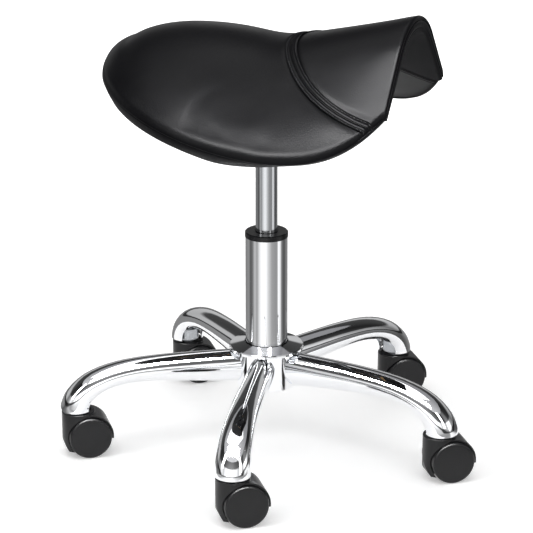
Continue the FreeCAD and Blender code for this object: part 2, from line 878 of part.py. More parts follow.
# Casters
def wheel(side):
    """One wheel of the pair, turned about the axle and laid on its side of the housing."""
    r = wheel_radius
    w = wheel_width
    e = wheel_edge_radius
    bore = axle_radius + running_fit
    hub = 7.0
    rim = 4.5
    web = wheel_web
    floor = w - web
    outline = [Vec(0, 0, floor + 0.5), Vec(bore, 0, floor + 0.5), Vec(bore, 0, 0), Vec(hub, 0, 0), Vec(hub, 0, floor),
               Vec(r - rim, 0, floor), Vec(r - rim, 0, 0), Vec(r - 1.0, 0, 0), Vec(r, 0, 1.0), Vec(r, 0, w - e)]
    edges = [line(a, b) for a, b in zip(outline[:-1], outline[1:])]
    turn = math.sqrt(0.5)
    edges.append(arc(Vec(r, 0, w - e), Vec(r - e + e * turn, 0, w - e + e * turn), Vec(r - e, 0, w)))
    edges.append(line(Vec(r - e, 0, w), Vec(0, 0, w)))
    edges.append(line(Vec(0, 0, w), Vec(0, 0, floor + 0.5)))
    body = Part.Face(Part.Wire(edges)).revolve(Vec(0, 0, 0), UP, 360).Solids[0]
    body.rotate(Vec(0, 0, 0), Vec(1, 0, 0), -90 if side > 0 else 90)
    body.translate(Vec(caster_trail, side * wheel_inner_face, axle_height))
    return body


def across(radius, half_length):
    """Cylinder along the axle."""
    return Part.makeCylinder(radius, 2 * half_length, Vec(caster_trail, -half_length, axle_height), Vec(0, 1, 0))


def caster_housing():
    post = rod(housing_radius, 8.0, housing_top)
    top_edge = [e for e in post.Edges if abs(e.CenterOfMass.z - housing_top) < 1e-3 and e.Length > 50]
    post = post.makeFillet(1.2, top_edge)
    belly = across(housing_belly_radius, 40).fuse(box(-40, 60, -40, 40, axle_height, 90))
    post = post.common(belly)
    for side in (-1, 1):
        room = Part.makeCylinder(wheel_radius + hood_gap, 40, Vec(caster_trail, side * web_half_width, axle_height),
                                 Vec(0, side, 0))
        post = post.cut(room)
    web = across(wheel_radius - 2.0, web_half_width)
    web = web.common(box(-20, 60, -20, 20, axle_height - 9, 60))
    shell = across(hood_radius, hood_half_width).cut(across(wheel_radius + hood_gap, hood_half_width + 1))
    cap = across(hood_radius, web_half_width).cut(across(wheel_radius - 3.0, web_half_width + 1))
    hood = shell.fuse(cap)
    hood = hood.common(box(0, 60, -30, 30, axle_height - 3.5, 60))
    leg_room = rod(21.5, housing_top, 70)
    hood = hood.cut(leg_room)
    body = post.fuse(web).fuse(hood)
    body = body.cut(leg_room)
    recess = rod(15.5, housing_top - 1.5, housing_top + 1)
    body = body.cut(recess)
    body = body.cut(rod(stem_radius + press_gap, stem_foot_height, 80))
    body = body.cut(across(axle_radius + press_gap, 30))
    return biggest(body)


def caster_stem():
    """Steel stem with a collar under the socket, a groove for the spring ring and a domed tip."""
    ring_low = leg_mouth_height + socket_height - 7.0
    groove = (ring_low + 0.2, ring_low + 2.2)
    collar_high = leg_mouth_height - 0.3
    collar = stem_collar_radius
    r = stem_radius
    tip = stem_tip_height
    body = revolve([(0, stem_foot_height + 0.3), (r - 0.8, stem_foot_height + 0.3), (r, stem_foot_height + 1.1),
                    (r, housing_top - 1.5), (collar, housing_top - 1.5), (collar, collar_high), (r, collar_high),
                    (r, groove[0]), (r - 0.8, groove[0]), (r - 0.8, groove[1]), (r, groove[1]), (r, tip - 3.5),
                    (0, tip - 3.5)])
    dome = Part.makeSphere(r, Vec(0, 0, tip - 3.5)).common(rod(r + 1, tip - 4.0, tip))
    return biggest(body.fuse(dome))


def caster_axle():
    return across(axle_radius, wheel_inner_face + wheel_width - wheel_web)


def casters():
    stem = caster_stem()
    housing = caster_housing()
    axle = caster_axle()
    wheels = {"left": wheel(1), "right": wheel(-1)}
    for i, angle in enumerate(leg_angles):
        n = str(i + 1)
        a = math.radians(angle)
        x = leg_circle_radius * math.cos(a)
        y = leg_circle_radius * math.sin(a)

        def placed(shape):
            return moved(turned(shape, caster_heading), x, y)

        save("caster_stem_" + n, placed(stem))
        save("caster_housing_" + n, placed(housing))
        save("caster_axle_" + n, placed(axle))
        for name, shape in wheels.items():
            save("caster_wheel_" + name + "_" + n, placed(shape))


def base():
    save("base_hub", base_hub())
    save("hub_cover_ring", hub_cover_ring())
    tube, socket = leg_and_socket()
    ring = grip_ring()
    for i, angle in enumerate(leg_angles):
        save("leg_" + str(i + 1), turned(tube, angle))
    sockets = [turned(shape, angle) for angle in leg_angles for shape in (socket, ring)]
    save("caster_sockets", *sockets)


def column():
    lower, upper, rollers, bearing_top = thrust_bearing()
    save("column_tube", column_tube())
    save("guide_bush", guide_bush())
    save("thrust_bearing", lower, *rollers)
    save("bearing_upper_washer", upper)
    save("rubber_buffer", rubber_buffer(bearing_top + 0.05))
    save("piston_rod", piston_rod())
    save("rod_clip", rod_clip())
    save("piston", piston())
    save("piston_ring", piston_ring())
    save("gas_cylinder", gas_cylinder())
    save("rod_seal", rod_seal())
    save("valve_pin", valve_pin())


def mechanism():
    save("seat_plate", seat_plate())
    save("release_lever", release_lever())
    save("lever_pivot_pin", lever_pivot_pin())
    save("lever_grip", lever_grip())
    screws = []
    inserts = []
    for x, y in screw_places():
        head = rod(screw_head_radius, plate_top - plate_wall - screw_head_height, plate_top - plate_wall, x, y)
        shank = rod(screw_radius, plate_top - plate_wall, plate_top + insert_length - 1, x, y)
        screws.append(head.fuse(shank).removeSplitter().Solids[0])
        tube = rod(insert_radius, plate_top + 0.05, plate_top + insert_length, x, y)
        inserts.append(tube.cut(rod(screw_radius + press_gap, plate_top - 1, plate_top + insert_length - 0.9, x, y)))
    save("plate_screws", *screws)
    save("threaded_inserts", *inserts)


os.makedirs("parts", exist_ok=True)
base()
column()
mechanism()
seat_layers()
casters()
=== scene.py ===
# %% [markdown]
# A saddle stool, dressed for its portrait. The steel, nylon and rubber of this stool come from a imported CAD
# model, so here they only get their finishes. The upholstery is built in this file: a foam saddle under
# black coated leather, sewn in panels. Lengths on the stool are in millimetres until a mesh is made. The
# room round it is in metres, as Blender expects.

# %% Load the stool
import bpy
import json
import math
import numpy as np
from mathutils import Matrix, Vector
from mathutils.bvhtree import BVHTree
from mathutils.kdtree import KDTree


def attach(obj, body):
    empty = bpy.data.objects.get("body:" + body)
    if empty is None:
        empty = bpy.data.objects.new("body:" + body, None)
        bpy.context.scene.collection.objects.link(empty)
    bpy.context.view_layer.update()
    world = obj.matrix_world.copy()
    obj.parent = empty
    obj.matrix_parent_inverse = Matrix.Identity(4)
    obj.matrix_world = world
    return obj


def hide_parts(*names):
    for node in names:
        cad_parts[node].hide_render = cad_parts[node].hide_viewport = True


MM = 0.001
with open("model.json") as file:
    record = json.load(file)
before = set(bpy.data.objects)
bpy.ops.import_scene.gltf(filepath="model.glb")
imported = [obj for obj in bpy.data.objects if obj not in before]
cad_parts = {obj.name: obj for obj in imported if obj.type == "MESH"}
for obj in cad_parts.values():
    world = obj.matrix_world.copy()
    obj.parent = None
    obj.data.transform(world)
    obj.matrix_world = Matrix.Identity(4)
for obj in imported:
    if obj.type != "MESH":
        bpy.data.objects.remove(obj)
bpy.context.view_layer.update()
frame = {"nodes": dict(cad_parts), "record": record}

# %% [markdown]
# The camera comes first, because it decides how much of each piece is seen. It stands at the rider's right,
# turned 22 degrees towards the front, and looks down by about 19 degrees. A long lens flattens the
# perspective.

# %% Camera
CAMERA_PLACE = (0.9245, -2.2883, 1.0813)
CAMERA_TILT, CAMERA_TURN = 70.872, 22.0
LENS, SENSOR = 148.6, 36.0

camera_data = bpy.data.cameras.new("studio_camera")
camera_data.lens = LENS
camera_data.sensor_width = SENSOR
camera = bpy.data.objects.new("studio_camera", camera_data)
camera.location = CAMERA_PLACE
camera.rotation_euler = (math.radians(CAMERA_TILT), 0.0, math.radians(CAMERA_TURN))
bpy.context.scene.collection.objects.link(camera)
bpy.context.scene.camera = camera
print("camera at", tuple(round(v, 3) for v in camera.location))

# %% [markdown]
# Materials are built from nodes. One helper adds a node, sets its values and links it. Another turns a
# colour written as on a paint card, in sRGB hex, into the linear values that light adds up in. The rest are
# the few steps that every material here repeats: noise, a range, a tint and a relief.


# %% Material helpers
def linear(hex_colour):
    """sRGB hex to linear red, green, blue and full opacity."""
    parts = [int(hex_colour[i:i + 2], 16) / 255 for i in (1, 3, 5)]
    return tuple(c / 12.92 if c <= 0.04045 else ((c + 0.055) / 1.055) ** 2.4 for c in parts) + (1.0,)


def add(material, kind, settings=None, links=None):
    """A node of this kind, with its settings and with links from other nodes' sockets into its inputs."""
    tree = material.node_tree
    node = tree.nodes.new(kind)
    for key, value in (settings or {}).items():
        if isinstance(key, str) and hasattr(node, key):
            setattr(node, key, value)
        else:
            node.inputs[key].default_value = value
    for key, source in (links or {}).items():
        tree.links.new(source, node.inputs[key])
    return node


def new_material(name):
    """An empty material, and the socket that gives a point's place on the piece."""
    material = bpy.data.materials.new(name)
    material.use_nodes = True
    material.node_tree.nodes.clear()
    return material, add(material, "ShaderNodeTexCoord").outputs["Object"]


def noise(m, place, size, detail, **settings):
    """Soft noise in patches of about this many millimetres."""
    values = {"Scale": 1.0 / (size * MM), "Detail": detail, **settings}
    return add(m, "ShaderNodeTexNoise", values, {"Vector": place}).outputs["Fac"]


def cells(m, place, size, **settings):
    """Distance to the middle of rounded cells of about this many millimetres."""
    values = {**settings, "Scale": 1.0 / (size * MM)}
    return add(m, "ShaderNodeTexVoronoi", values, {"Vector": place}).outputs["Distance"]


def spread(m, source, low, high, window=(0.0, 1.0), curve="LINEAR"):
    """Maps a value from the window to the range from low to high."""
    values = {"interpolation_type": curve, "From Min": window[0], "From Max": window[1]}
    values.update({"To Min": low, "To Max": high})
    return add(m, "ShaderNodeMapRange", values, {"Value": source}).outputs[0]


def tinted(m, source, colour, other):
    """A colour between two, chosen by a texture."""
    values = {"data_type": "RGBA", 6: linear(colour), 7: linear(other)}
    return add(m, "ShaderNodeMix", values, {0: source}).outputs[2]


def math_of(m, operation, first, second):
    return add(m, "ShaderNodeMath", {"operation": operation}, {0: first, 1: second}).outputs[0]


def relief(m, height, strength, depth, under=None):
    """Surface directions bent by a height, its depth in millimetres, over another relief if there is one."""
    links = {"Height": height} if under is None else {"Height": height, "Normal": under}
    return add(m, "ShaderNodeBump", {"Strength": strength, "Distance": depth * MM}, links).outputs[0]


def finish_material(material, shader):
    add(material, "ShaderNodeOutputMaterial", links={"Surface": shader.outputs[0]})
    print("material", material.name, "with", len(material.node_tree.nodes), "nodes")
    return material


def surface(m, settings, links):
    """Ends a material with the standard surface shader."""
    return finish_material(m, add(m, "ShaderNodeBsdfPrincipled", settings, links))


print("mid grey on a paint card is", round(linear("#808080")[0], 3), "of white's light")

# %% [markdown]
# Polished chrome plate on steel tube: the base, the legs and the column. The plate itself has almost no
# texture. What the eye gets is the room in it, a little softened by the buffing. The faint change in
# roughness comes from handling, in patches of some 40 mm.


# %% Chrome plate
def chrome_plate():
    m, place = new_material("chrome_plate_polished")
    rough = spread(m, noise(m, place, 40, 3.0), 0.035, 0.075, (0.35, 0.7))
    orange_peel = relief(m, noise(m, place, 9, 1.0), 0.02, 1.0)
    return surface(m, {"Base Color": linear("#f0f1f3"), "Metallic": 1.0},
                   {"Roughness": rough, "Normal": orange_peel})


CHROME = chrome_plate()

# %% [markdown]
# Ground and zinc-plated steel. The gas spring's cylinder is ground round its axis, which leaves fine rings.
# A noise squeezed along the height draws them: 0.4 mm apart, coarser than real grinding so that it can
# show.


# %% Ground steel and zinc
def ground_steel(name, colour, low, high, ring):
    m, place = new_material(name)
    squeeze = add(m, "ShaderNodeMapping", {"Scale": (4.0, 4.0, 1.0 / (ring * MM))}, {"Vector": place})
    rings = noise(m, squeeze.outputs[0], 1 / MM, 4.0, Roughness=0.7)
    rough = spread(m, rings, low, high, (0.3, 0.7))
    return surface(m, {"Base Color": linear(colour), "Metallic": 1.0},
                   {"Roughness": rough, "Normal": relief(m, rings, 0.05, 0.2)})


GROUND = ground_steel("ground_steel", "#cfd1d4", 0.10, 0.18, 0.4)
ZINC = ground_steel("zinc_plated_steel", "#b9bcc0", 0.24, 0.40, 1.5)

# %% [markdown]
# Moulded black plastics. Caster housings and wheels are nylon with glass fibre, so they are a dark grey
# satin, slightly mottled, with a spark-eroded mould texture of about 0.5 mm. Powder paint, rubber and
# sewing thread are the same idea with another grain.


# %% Nylon, paint, rubber and thread
def moulded(name, colour, worn, roughness, grain, depth):
    m, place = new_material(name)
    fine = noise(m, place, grain, 2.0)
    return surface(m, {"IOR": 1.52, "Specular IOR Level": 0.3},
                   {"Base Color": tinted(m, noise(m, place, 12, 4.0), colour, worn),
                    "Roughness": spread(m, fine, roughness - 0.06, roughness + 0.06),
                    "Normal": relief(m, fine, 0.25, depth)})


NYLON = moulded("moulded_black_nylon", "#0f0f11", "#161618", 0.33, 0.5, 0.04)
COLLAR_NYLON = moulded("turned_black_acetal", "#101012", "#161618", 0.30, 0.6, 0.02)
PAINT = moulded("powder_coated_steel", "#17181a", "#1d1e20", 0.45, 0.35, 0.05)
RUBBER = moulded("moulded_rubber", "#161616", "#1e1e1e", 0.75, 0.8, 0.05)
THREAD = moulded("bonded_polyester_thread", "#222225", "#303034", 0.5, 0.3, 0.1)

# %% [markdown]
# Plywood for the pan and the packing block, seen only from below. The grain runs along the seat, a ring
# every 6 mm or so.


# %% Plywood
def birch_plywood():
    m, place = new_material("birch_plywood_raw")
    stretch = add(m, "ShaderNodeMapping", {"Scale": (0.06, 1.0, 1.0)}, {"Vector": place})
    grain = noise(m, stretch.outputs[0], 6, 6.0, Distortion=0.6)
    return surface(m, {"Roughness": 0.7},
                   {"Base Color": tinted(m, grain, "#c9a878", "#9c7749"),
                    "Normal": relief(m, grain, 0.3, 0.2)})


PLYWOOD = birch_plywood()

# %% [markdown]
# Coated leather. The hide is split, coated with black polyurethane and pressed with a pebble grain of under
# 2 mm. Close to a seam the leather is drawn together by the thread, in small folds that run off the seam.
# The mesh carries the distance to the nearest seam in millimetres, and the folds fade out with it.


# %% Leather
def coated_leather(name, colour, sheen, roughness, grain, folds):
    m, place = new_material(name)
    pebble = cells(m, place, grain, feature="SMOOTH_F1", Smoothness=0.7)
    pores = noise(m, place, grain * 0.6, 3.0)
    both = add(m, "ShaderNodeMath", {"operation": "MULTIPLY_ADD", 1: 0.6}, {0: pebble, 2: pores}).outputs[0]
    near = add(m, "ShaderNodeAttribute", {"attribute_name": "seam_mm"}).outputs["Fac"]
    fade = spread(m, near, folds, 0.0, (3.0, 16.0), "SMOOTHSTEP")
    pucker = math_of(m, "MULTIPLY", noise(m, place, 14, 1.0, Distortion=0.4), fade)
    rough = spread(m, noise(m, place, 60, 4.0), roughness - 0.04, roughness + 0.05, (0.3, 0.7))
    return surface(m, {"IOR": 1.5, "Specular IOR Level": 0.07},
                   {"Base Color": tinted(m, pores, colour, sheen), "Roughness": rough,
                    "Normal": relief(m, both, 0.35, 0.3, relief(m, pucker, 0.6, 2.0))})


LEATHER = coated_leather("black_coated_leather", "#0b0b0d", "#101013", 0.33, 1.8, 0.25)
LINING_LEATHER = coated_leather("black_lining_leather", "#101012", "#18181a", 0.46, 1.6, 0.25)

# %% [markdown]
# Non-woven polyester under the seat: a felt of fibres with no weave, dull and slightly grey.


# %% Underside felt
def spunbond():
    m, place = new_material("spunbond_polyester")
    fibres = noise(m, place, 0.8, 5.0)
    height = math_of(m, "ADD", cells(m, place, 1.6), fibres)
    return surface(m, {"Roughness": 0.9, "Sheen Weight": 0.2},
                   {"Base Color": tinted(m, fibres, "#131314", "#232325"),
                    "Normal": relief(m, height, 0.4, 0.3)})


FELT = spunbond()

# %% [markdown]
# Now the CAD pieces get their finishes, one for each material named in the frame. The collar on the column
# is turned from a smoother plastic than the casters, so it has a finish of its own.

# %% Dress the CAD pieces
FINISHES = {
    "chromed_steel": CHROME,
    "bright_steel": GROUND,
    "zinc_plated_steel": ZINC,
    "black_painted_steel": PAINT,
    "black_nylon": NYLON,
    "black_rubber": RUBBER,
    "black_leather": LEATHER,
    "underside_fabric": FELT,
    "moulded_foam": FELT,
    "plywood": PLYWOOD,
}
slots = {p["node"]: p["material_slot"] for p in frame["record"]["subparts"]}
for node, piece in frame["nodes"].items():
    piece.data.materials.clear()
    piece.data.materials.append(COLLAR_NYLON if node == "guide_bush" else FINISHES[slots[node]])
print("dressed", len(frame["nodes"]), "CAD pieces")

# %% [markdown]
# Each leg is one steel tube, pressed oval and bent down to its caster, then polished and chromed. The CAD
# tube is a stack of short straight strips, and a polish that fine would show every strip. So a much finer
# skin is worked out through the same sections, and each corner of the tube's faces takes its direction from
# there. Nothing moves.

# %% Smooth the chromed legs
LEGS, FIRST_LEG = 5, 5.5
LEG_CIRCLE, LEG_MOUTH, LEG_ARM = 228.0, 58.0, 103.5
# Each section: reach past the leg circle, share of the rise to the arm, lean in degrees, height and width.
LEG_SECTIONS = (
    (-200.0, 0.98, 90.0, 40.6, 31.5), (-155.0, 1.0, 90.0, 37.2, 32.0), (-110.0, 1.017, 89.0, 32.8, 33.0),
    (-70.0, 0.985, 84.0, 29.2, 34.5), (-41.5, 0.87, 68.0, 28.8, 37.0), (-19.0, 0.665, 45.0, 31.0, 39.2),
    (-4.0, 0.375, 21.0, 34.6, 40.6), (1.8, 0.12, 5.0, 37.2, 41.0), (2.4, 0.0, 0.0, 38.0, 41.0),
)
NEIGHBOURS, EVEN_OUT = 6, 0.3       # skin points that a corner listens to, and how evenly
SKIN_REACH, SAME_SIDE = 3.0, 0.6    # only faces that lie on the skin and look the same way


def leg_section(place):
    """Section at a place along the rows above, on a smooth curve through them."""
    i = min(int(place), len(LEG_SECTIONS) - 2)
    t = place - i
    rows = [LEG_SECTIONS[min(max(k, 0), len(LEG_SECTIONS) - 1)] for k in (i - 1, i, i + 1, i + 2)]
    return [q + 0.5 * t * (r - p + t * (2 * p - 5 * q + 4 * r - s + t * (3 * (q - r) + s - p)))
            for p, q, r, s in zip(*rows)]


def leg_skin(steps=16, around=96):
    """Points of one leg's skin along +X, with the direction the skin faces at each."""
    rows = []
    turns = np.linspace(0, 2 * math.pi, around, endpoint=False)
    for k in range(steps * (len(LEG_SECTIONS) - 1) + 1):
        out, share, lean, tall, wide = leg_section(k / steps)
        tilt, high = math.radians(lean), LEG_MOUTH + (LEG_ARM - LEG_MOUTH) * share
        rise = tall / 2 * np.cos(turns)
        rows.append(np.stack([LEG_CIRCLE + out + rise * math.cos(tilt), wide / 2 * np.sin(turns),
                              high + rise * math.sin(tilt)], axis=1))
    p = np.array(rows)
    across = np.roll(p, -1, axis=1) - np.roll(p, 1, axis=1)
    n = np.cross(across, np.gradient(p, axis=0))
    n /= np.linalg.norm(n, axis=2, keepdims=True)
    n *= np.sign(np.sum(n * (p - p.mean(axis=1, keepdims=True)), axis=2, keepdims=True))
    return p.reshape(-1, 3), n.reshape(-1, 3)


def tree_of(points):
    """A search tree for the nearest of many points."""
    found = KDTree(len(points))
    for i, p in enumerate(points):
        found.insert(Vector(p), i)
    found.balance()
    return found


skin_points, skin_normals = leg_skin()
skin = tree_of(skin_points)
for number in range(LEGS):
    piece = frame["nodes"]["leg_%d" % (number + 1)]
    to_leg = Matrix.Rotation(math.radians(FIRST_LEG - 360.0 / LEGS * number), 4, "Z") @ piece.matrix_world
    turn, back = to_leg.to_3x3(), to_leg.to_3x3().inverted()
    facing = []
    for v in piece.data.vertices:
        hits = skin.find_n((to_leg @ v.co) / MM, NEIGHBOURS)
        mean = sum((Vector(skin_normals[i]) / (gap * gap + EVEN_OUT) for place, i, gap in hits), Vector())
        facing.append((hits[0][2], mean.normalized()))
    normals = [tuple(n.vector) for n in piece.data.corner_normals]
    changed = 0
    for face in piece.data.polygons:
        outward = (turn @ face.normal).normalized()
        for k in face.loop_indices:
            gap, direction = facing[piece.data.loops[k].vertex_index]
            if gap < SKIN_REACH and outward.dot(direction) > SAME_SIDE:
                normals[k] = tuple((back @ direction).normalized())
                changed += 1
    piece.data.normals_split_custom_set(normals)
print("legs: last one has", changed, "of", len(normals), "corners smoothed")

# %% [markdown]
# The saddle's form repeats the CAD formulas: how wide the seat is at a place along it, how high its middle
# line runs, and how low its edge seam hangs. Here the tail is 2.5 mm longer and the pommel a little higher
# than in the CAD model, as a cover over foam is fuller.

# %% Saddle outline
TAIL_X, FRONT_X, WIDE_X, HALF_WIDTH = -194.5, 181.0, 28.0, 175.5
CAD_TAIL_X = -192.0
NARROWING, NARROWING_POWER = 0.426, 2.75
HUMP_X, DIP_X, HUMP, DIP = -75.0, 12.0, 511.6, 506.2    # high and low place of the middle line
TAIL_FALL, TAIL_POWER = 33.5, 2.6
POMMEL_RISE, POMMEL_EASE = 37.0, 0.12
RIM_X, RIM = 65.0, 407.6                                # low place of the edge seam
RIM_TAIL_RISE, RIM_TAIL_POWER = 54.5, 1.5
RIM_FRONT_RISE, RIM_FRONT_POWER = 48.0, 3.4
PAD, PAD_LESS_BEHIND, PAD_LESS_BEFORE, PAD_X = 50.0, 24.0, 33.0, 62.0


def smooth(share):
    share = min(1.0, max(0.0, share))
    return share * share * (3 - 2 * share)


def half_width(x):
    if x < WIDE_X:
        return HALF_WIDTH * math.sqrt(max(0.0, 1 - ((WIDE_X - x) / (WIDE_X - TAIL_X)) ** 2))
    return HALF_WIDTH * (1 - NARROWING * ((x - WIDE_X) / (FRONT_X - WIDE_X)) ** NARROWING_POWER)


def ridge_height(x):
    if x < HUMP_X:
        return HUMP - TAIL_FALL * ((HUMP_X - x) / (HUMP_X - TAIL_X)) ** TAIL_POWER
    if x < DIP_X:
        return HUMP - (HUMP - DIP) * smooth((x - HUMP_X) / (DIP_X - HUMP_X))
    share = (x - DIP_X) / (FRONT_X - DIP_X)
    return DIP + POMMEL_RISE * (1 + POMMEL_EASE) * share ** 2 / (share + POMMEL_EASE)


def rim_height(x):
    if x < RIM_X:
        return RIM + RIM_TAIL_RISE * ((RIM_X - x) / (RIM_X - TAIL_X)) ** RIM_TAIL_POWER
    return RIM + RIM_FRONT_RISE * ((x - RIM_X) / (FRONT_X - RIM_X)) ** RIM_FRONT_POWER


def pad_depth(x):
    if x < HUMP_X:
        return PAD - PAD_LESS_BEHIND * smooth((HUMP_X - x) / (HUMP_X - CAD_TAIL_X))
    return PAD - PAD_LESS_BEFORE * smooth((x - PAD_X) / (FRONT_X - PAD_X))


print("saddle is", FRONT_X - TAIL_X, "by", 2 * HALF_WIDTH, "mm")

# %% [markdown]
# Across the seat, the outline is a crown arc, a straight flank and a shoulder arc. Each touches the next,
# so the leather has no kink. The crown is narrow at the pommel and wide behind, and at the tail the pad
# rolls over.

# %% Saddle sections
CROWN, CROWN_MORE, CROWN_POWER, CROWN_X = 76.0, 224.0, 1.5, -131.25
TOP_FLANK, SHOULDER = 0.12, 16.0
TAIL_RADIUS, ROLL_START = 28.0, -60.0
CAP_SLOPE, CAP_BULGE = 0.62, 2.0
CAP_LIFT, LIFT_X, LIFT_RUN = 40.0, -150.0, 70.0         # the cap lets go of the top over this stretch
CAP_BLEND = 5.0


def crown_and_flank(width, drop, crown, shoulder, least_flank):
    """Crown arc and flank that touch a shoulder circle at the edge."""
    a = width - shoulder
    least = least_flank * width
    largest = (a * a + drop * drop - shoulder * shoulder - least * least) / (2 * (drop - shoulder))
    if drop - shoulder > 0.1:
        crown = min(crown, largest)
    b = drop - crown
    k = crown - shoulder
    flank = math.sqrt(max(1e-6, a * a + b * b - k * k))
    return crown, flank, math.atan2(b, a) + math.atan2(k, flank)


def top_section(x, inset=0.0):
    """Arc lengths and shape values of the seat's top across x."""
    width, ridge, rim = half_width(x), ridge_height(x), rim_height(x)
    drop = ridge - rim
    shoulder = min(SHOULDER, 0.4 * width, 0.5 * drop)
    share = min(1.0, (FRONT_X - x) / (FRONT_X - CROWN_X))
    widest = CROWN + CROWN_MORE * share ** CROWN_POWER
    crown, flank, slope = crown_and_flank(width, drop, widest, shoulder, TOP_FLANK)
    return dict(x=x, width=width, ridge=ridge, rim=rim, crown=crown - inset, flank=flank, slope=slope,
                shoulder=shoulder - inset, centre=ridge - crown, edge=width - shoulder)


def top_point(s, share):
    """Point (y, z) on the top outline, share 0 on the middle line and 1 at the edge seam."""
    lengths = (s["crown"] * s["slope"], s["flank"], s["shoulder"] * (math.pi / 2 - s["slope"]))
    run = share * sum(lengths)
    c, n = math.cos(s["slope"]), math.sin(s["slope"])
    if run <= lengths[0]:
        a = run / s["crown"]
        return s["crown"] * math.sin(a), s["centre"] + s["crown"] * math.cos(a)
    run -= lengths[0]
    if run <= lengths[1]:
        return s["crown"] * n + run * c, s["centre"] + s["crown"] * c - run * n
    a = s["slope"] + (run - lengths[1]) / max(s["shoulder"], 1e-6)
    return s["edge"] + s["shoulder"] * math.sin(a), s["rim"] + s["shoulder"] * math.cos(a)


def top_height(x, y):
    """Height of the top over a place in plan."""
    s = top_section(x)
    y = abs(y)
    n, c = math.sin(s["slope"]), math.cos(s["slope"])
    if y <= s["crown"] * n:
        z = s["centre"] + math.sqrt(s["crown"] ** 2 - y * y)
    elif y <= s["crown"] * n + s["flank"] * c:
        z = s["centre"] + s["crown"] * c - (y - s["crown"] * n) * n / c
    else:
        z = s["rim"] + math.sqrt(max(0.0, s["shoulder"] ** 2 - (y - s["edge"]) ** 2))
    return round_tail(x, y, z)


def round_tail(x, y, z):
    """Rolls the tail over as a real pad does, down to the edge seam."""
    if x > ROLL_START:
        return z
    u, v = (WIDE_X - x) / (WIDE_X - TAIL_X), y / HALF_WIDTH
    t = max(math.hypot(u, v), 1e-6)
    slope = 2 * math.hypot(u / (WIDE_X - TAIL_X), v / HALF_WIDTH)
    d = max(0.0, (1 - t * t) / slope)
    near = min(d, TAIL_RADIUS)
    cap = rim_height(WIDE_X - (WIDE_X - TAIL_X) * u / t)
    cap += math.sqrt(TAIL_RADIUS ** 2 - (TAIL_RADIUS - near) ** 2)
    cap += CAP_SLOPE * (d - near) + CAP_BULGE * smooth(d / TAIL_RADIUS)
    cap += CAP_LIFT * smooth((x - LIFT_X) / LIFT_RUN) ** 2
    h = min(1.0, max(0.0, 0.5 + 0.5 * (cap - z) / CAP_BLEND))
    return cap + (z - cap) * h - CAP_BLEND * h * (1 - h)


def outline_normal(x, y):
    """Outward direction of the seat's outline in plan."""
    if x < WIDE_X:
        n = Vector(((x - WIDE_X) / (WIDE_X - TAIL_X) ** 2, y / HALF_WIDTH ** 2, 0.0))
    else:
        before, after = (x - 0.5, x + 0.5) if x < FRONT_X - 0.5 else (x - 1, x)
        step = half_width(after) - half_width(before)
        n = Vector((-step, math.copysign(1.0, y), 0.0))
    return n.normalized()


print("crown at the middle", round(top_height(0, 0), 1), "edge at the widest", round(rim_height(WIDE_X), 1))

# %% [markdown]
# The cover is cut from flat leather in panels, and each panel is drawn here as a grid of points that
# follows the form. Rows run across the seat. At the edge seam and at the front edge the leather rolls over
# and tucks in, which leaves the thin dark line that a sewn seam has. One grid holds the whole top, and the
# front seam then parts it in two.

# %% Grid helpers
def mesh_piece(name, points, faces, material, stands_for=()):
    """A smooth-shaded piece of the upholstery, riding on the seat."""
    mesh = bpy.data.meshes.new(name)
    mesh.from_pydata([tuple(c * MM for c in p) for p in points], [], faces)
    mesh.shade_smooth()
    mesh.materials.append(material)
    piece = bpy.data.objects.new(name, mesh)
    bpy.context.scene.collection.objects.link(piece)
    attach(piece, "seat")
    if stands_for:
        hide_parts(*stands_for)
    print(name, len(points), "points", len(faces), "faces")
    return piece


def grid_faces(rows, columns, closed=False):
    faces = []
    for i in range(rows - 1):
        for j in range(columns if closed else columns - 1):
            k = (j + 1) % columns
            faces.append((i * columns + j, i * columns + k, (i + 1) * columns + k, (i + 1) * columns + j))
    return faces


def part_of(points, faces, wanted):
    """The points and faces of a grid whose faces are wanted."""
    kept = [f for f, w in zip(faces, wanted) if w]
    used = sorted(set(i for f in kept for i in f))
    place = {old: new for new, old in enumerate(used)}
    return [points[i] for i in used], [tuple(place[i] for i in f) for f in kept], used


def grid_normals(points, rows, columns):
    """Direction across the grid's face at each of its points."""
    p = np.array(points).reshape(rows, columns, 3)
    along, across = np.gradient(p, axis=0), np.gradient(p, axis=1)
    n = np.cross(along, across).reshape(-1, 3)
    return n / np.maximum(np.linalg.norm(n, axis=1, keepdims=True), 1e-9)


def mirrored(points):
    """A line from one side to the middle, carried on to the other side."""
    return points + [(x, -y, z) for x, y, z in reversed(points[:-1])]


def whole_row(half):
    """A row from the middle outwards, with its mirror image put before it."""
    return [(x, -y, z) for x, y, z in reversed(half[1:])] + half


def rolled(radius, degrees):
    """How far an edge has come back and dropped after this turn round a radius."""
    turn = math.radians(degrees)
    return radius * (1 - math.cos(turn)), radius * math.sin(turn)


def mark_seams(piece, distances):
    """Stores each point's distance to the nearest seam, in millimetres, for the leather's folds."""
    layer = piece.data.attributes.new("seam_mm", "FLOAT", "POINT")
    layer.data.foreach_set("value", np.array(distances, np.float32))


print("a grid of 3 by 4 points has", len(grid_faces(3, 4)), "faces")

# %% [markdown]
# The top is one grid of rows. Those of the tail stand close together, where the form bends most. A row is
# worked out for one side and mirrored. Then the whole grid is evened out a little away from its seams, as
# stretched leather is.

# %% Top of the saddle
STEP = 2.2
EDGE_ROLL, TUCK, TUCK_RUN = 3.5, 1.6, 2.0
ROLL_X = FRONT_X - EDGE_ROLL
ROUNDS, PULL = 90, 0.7


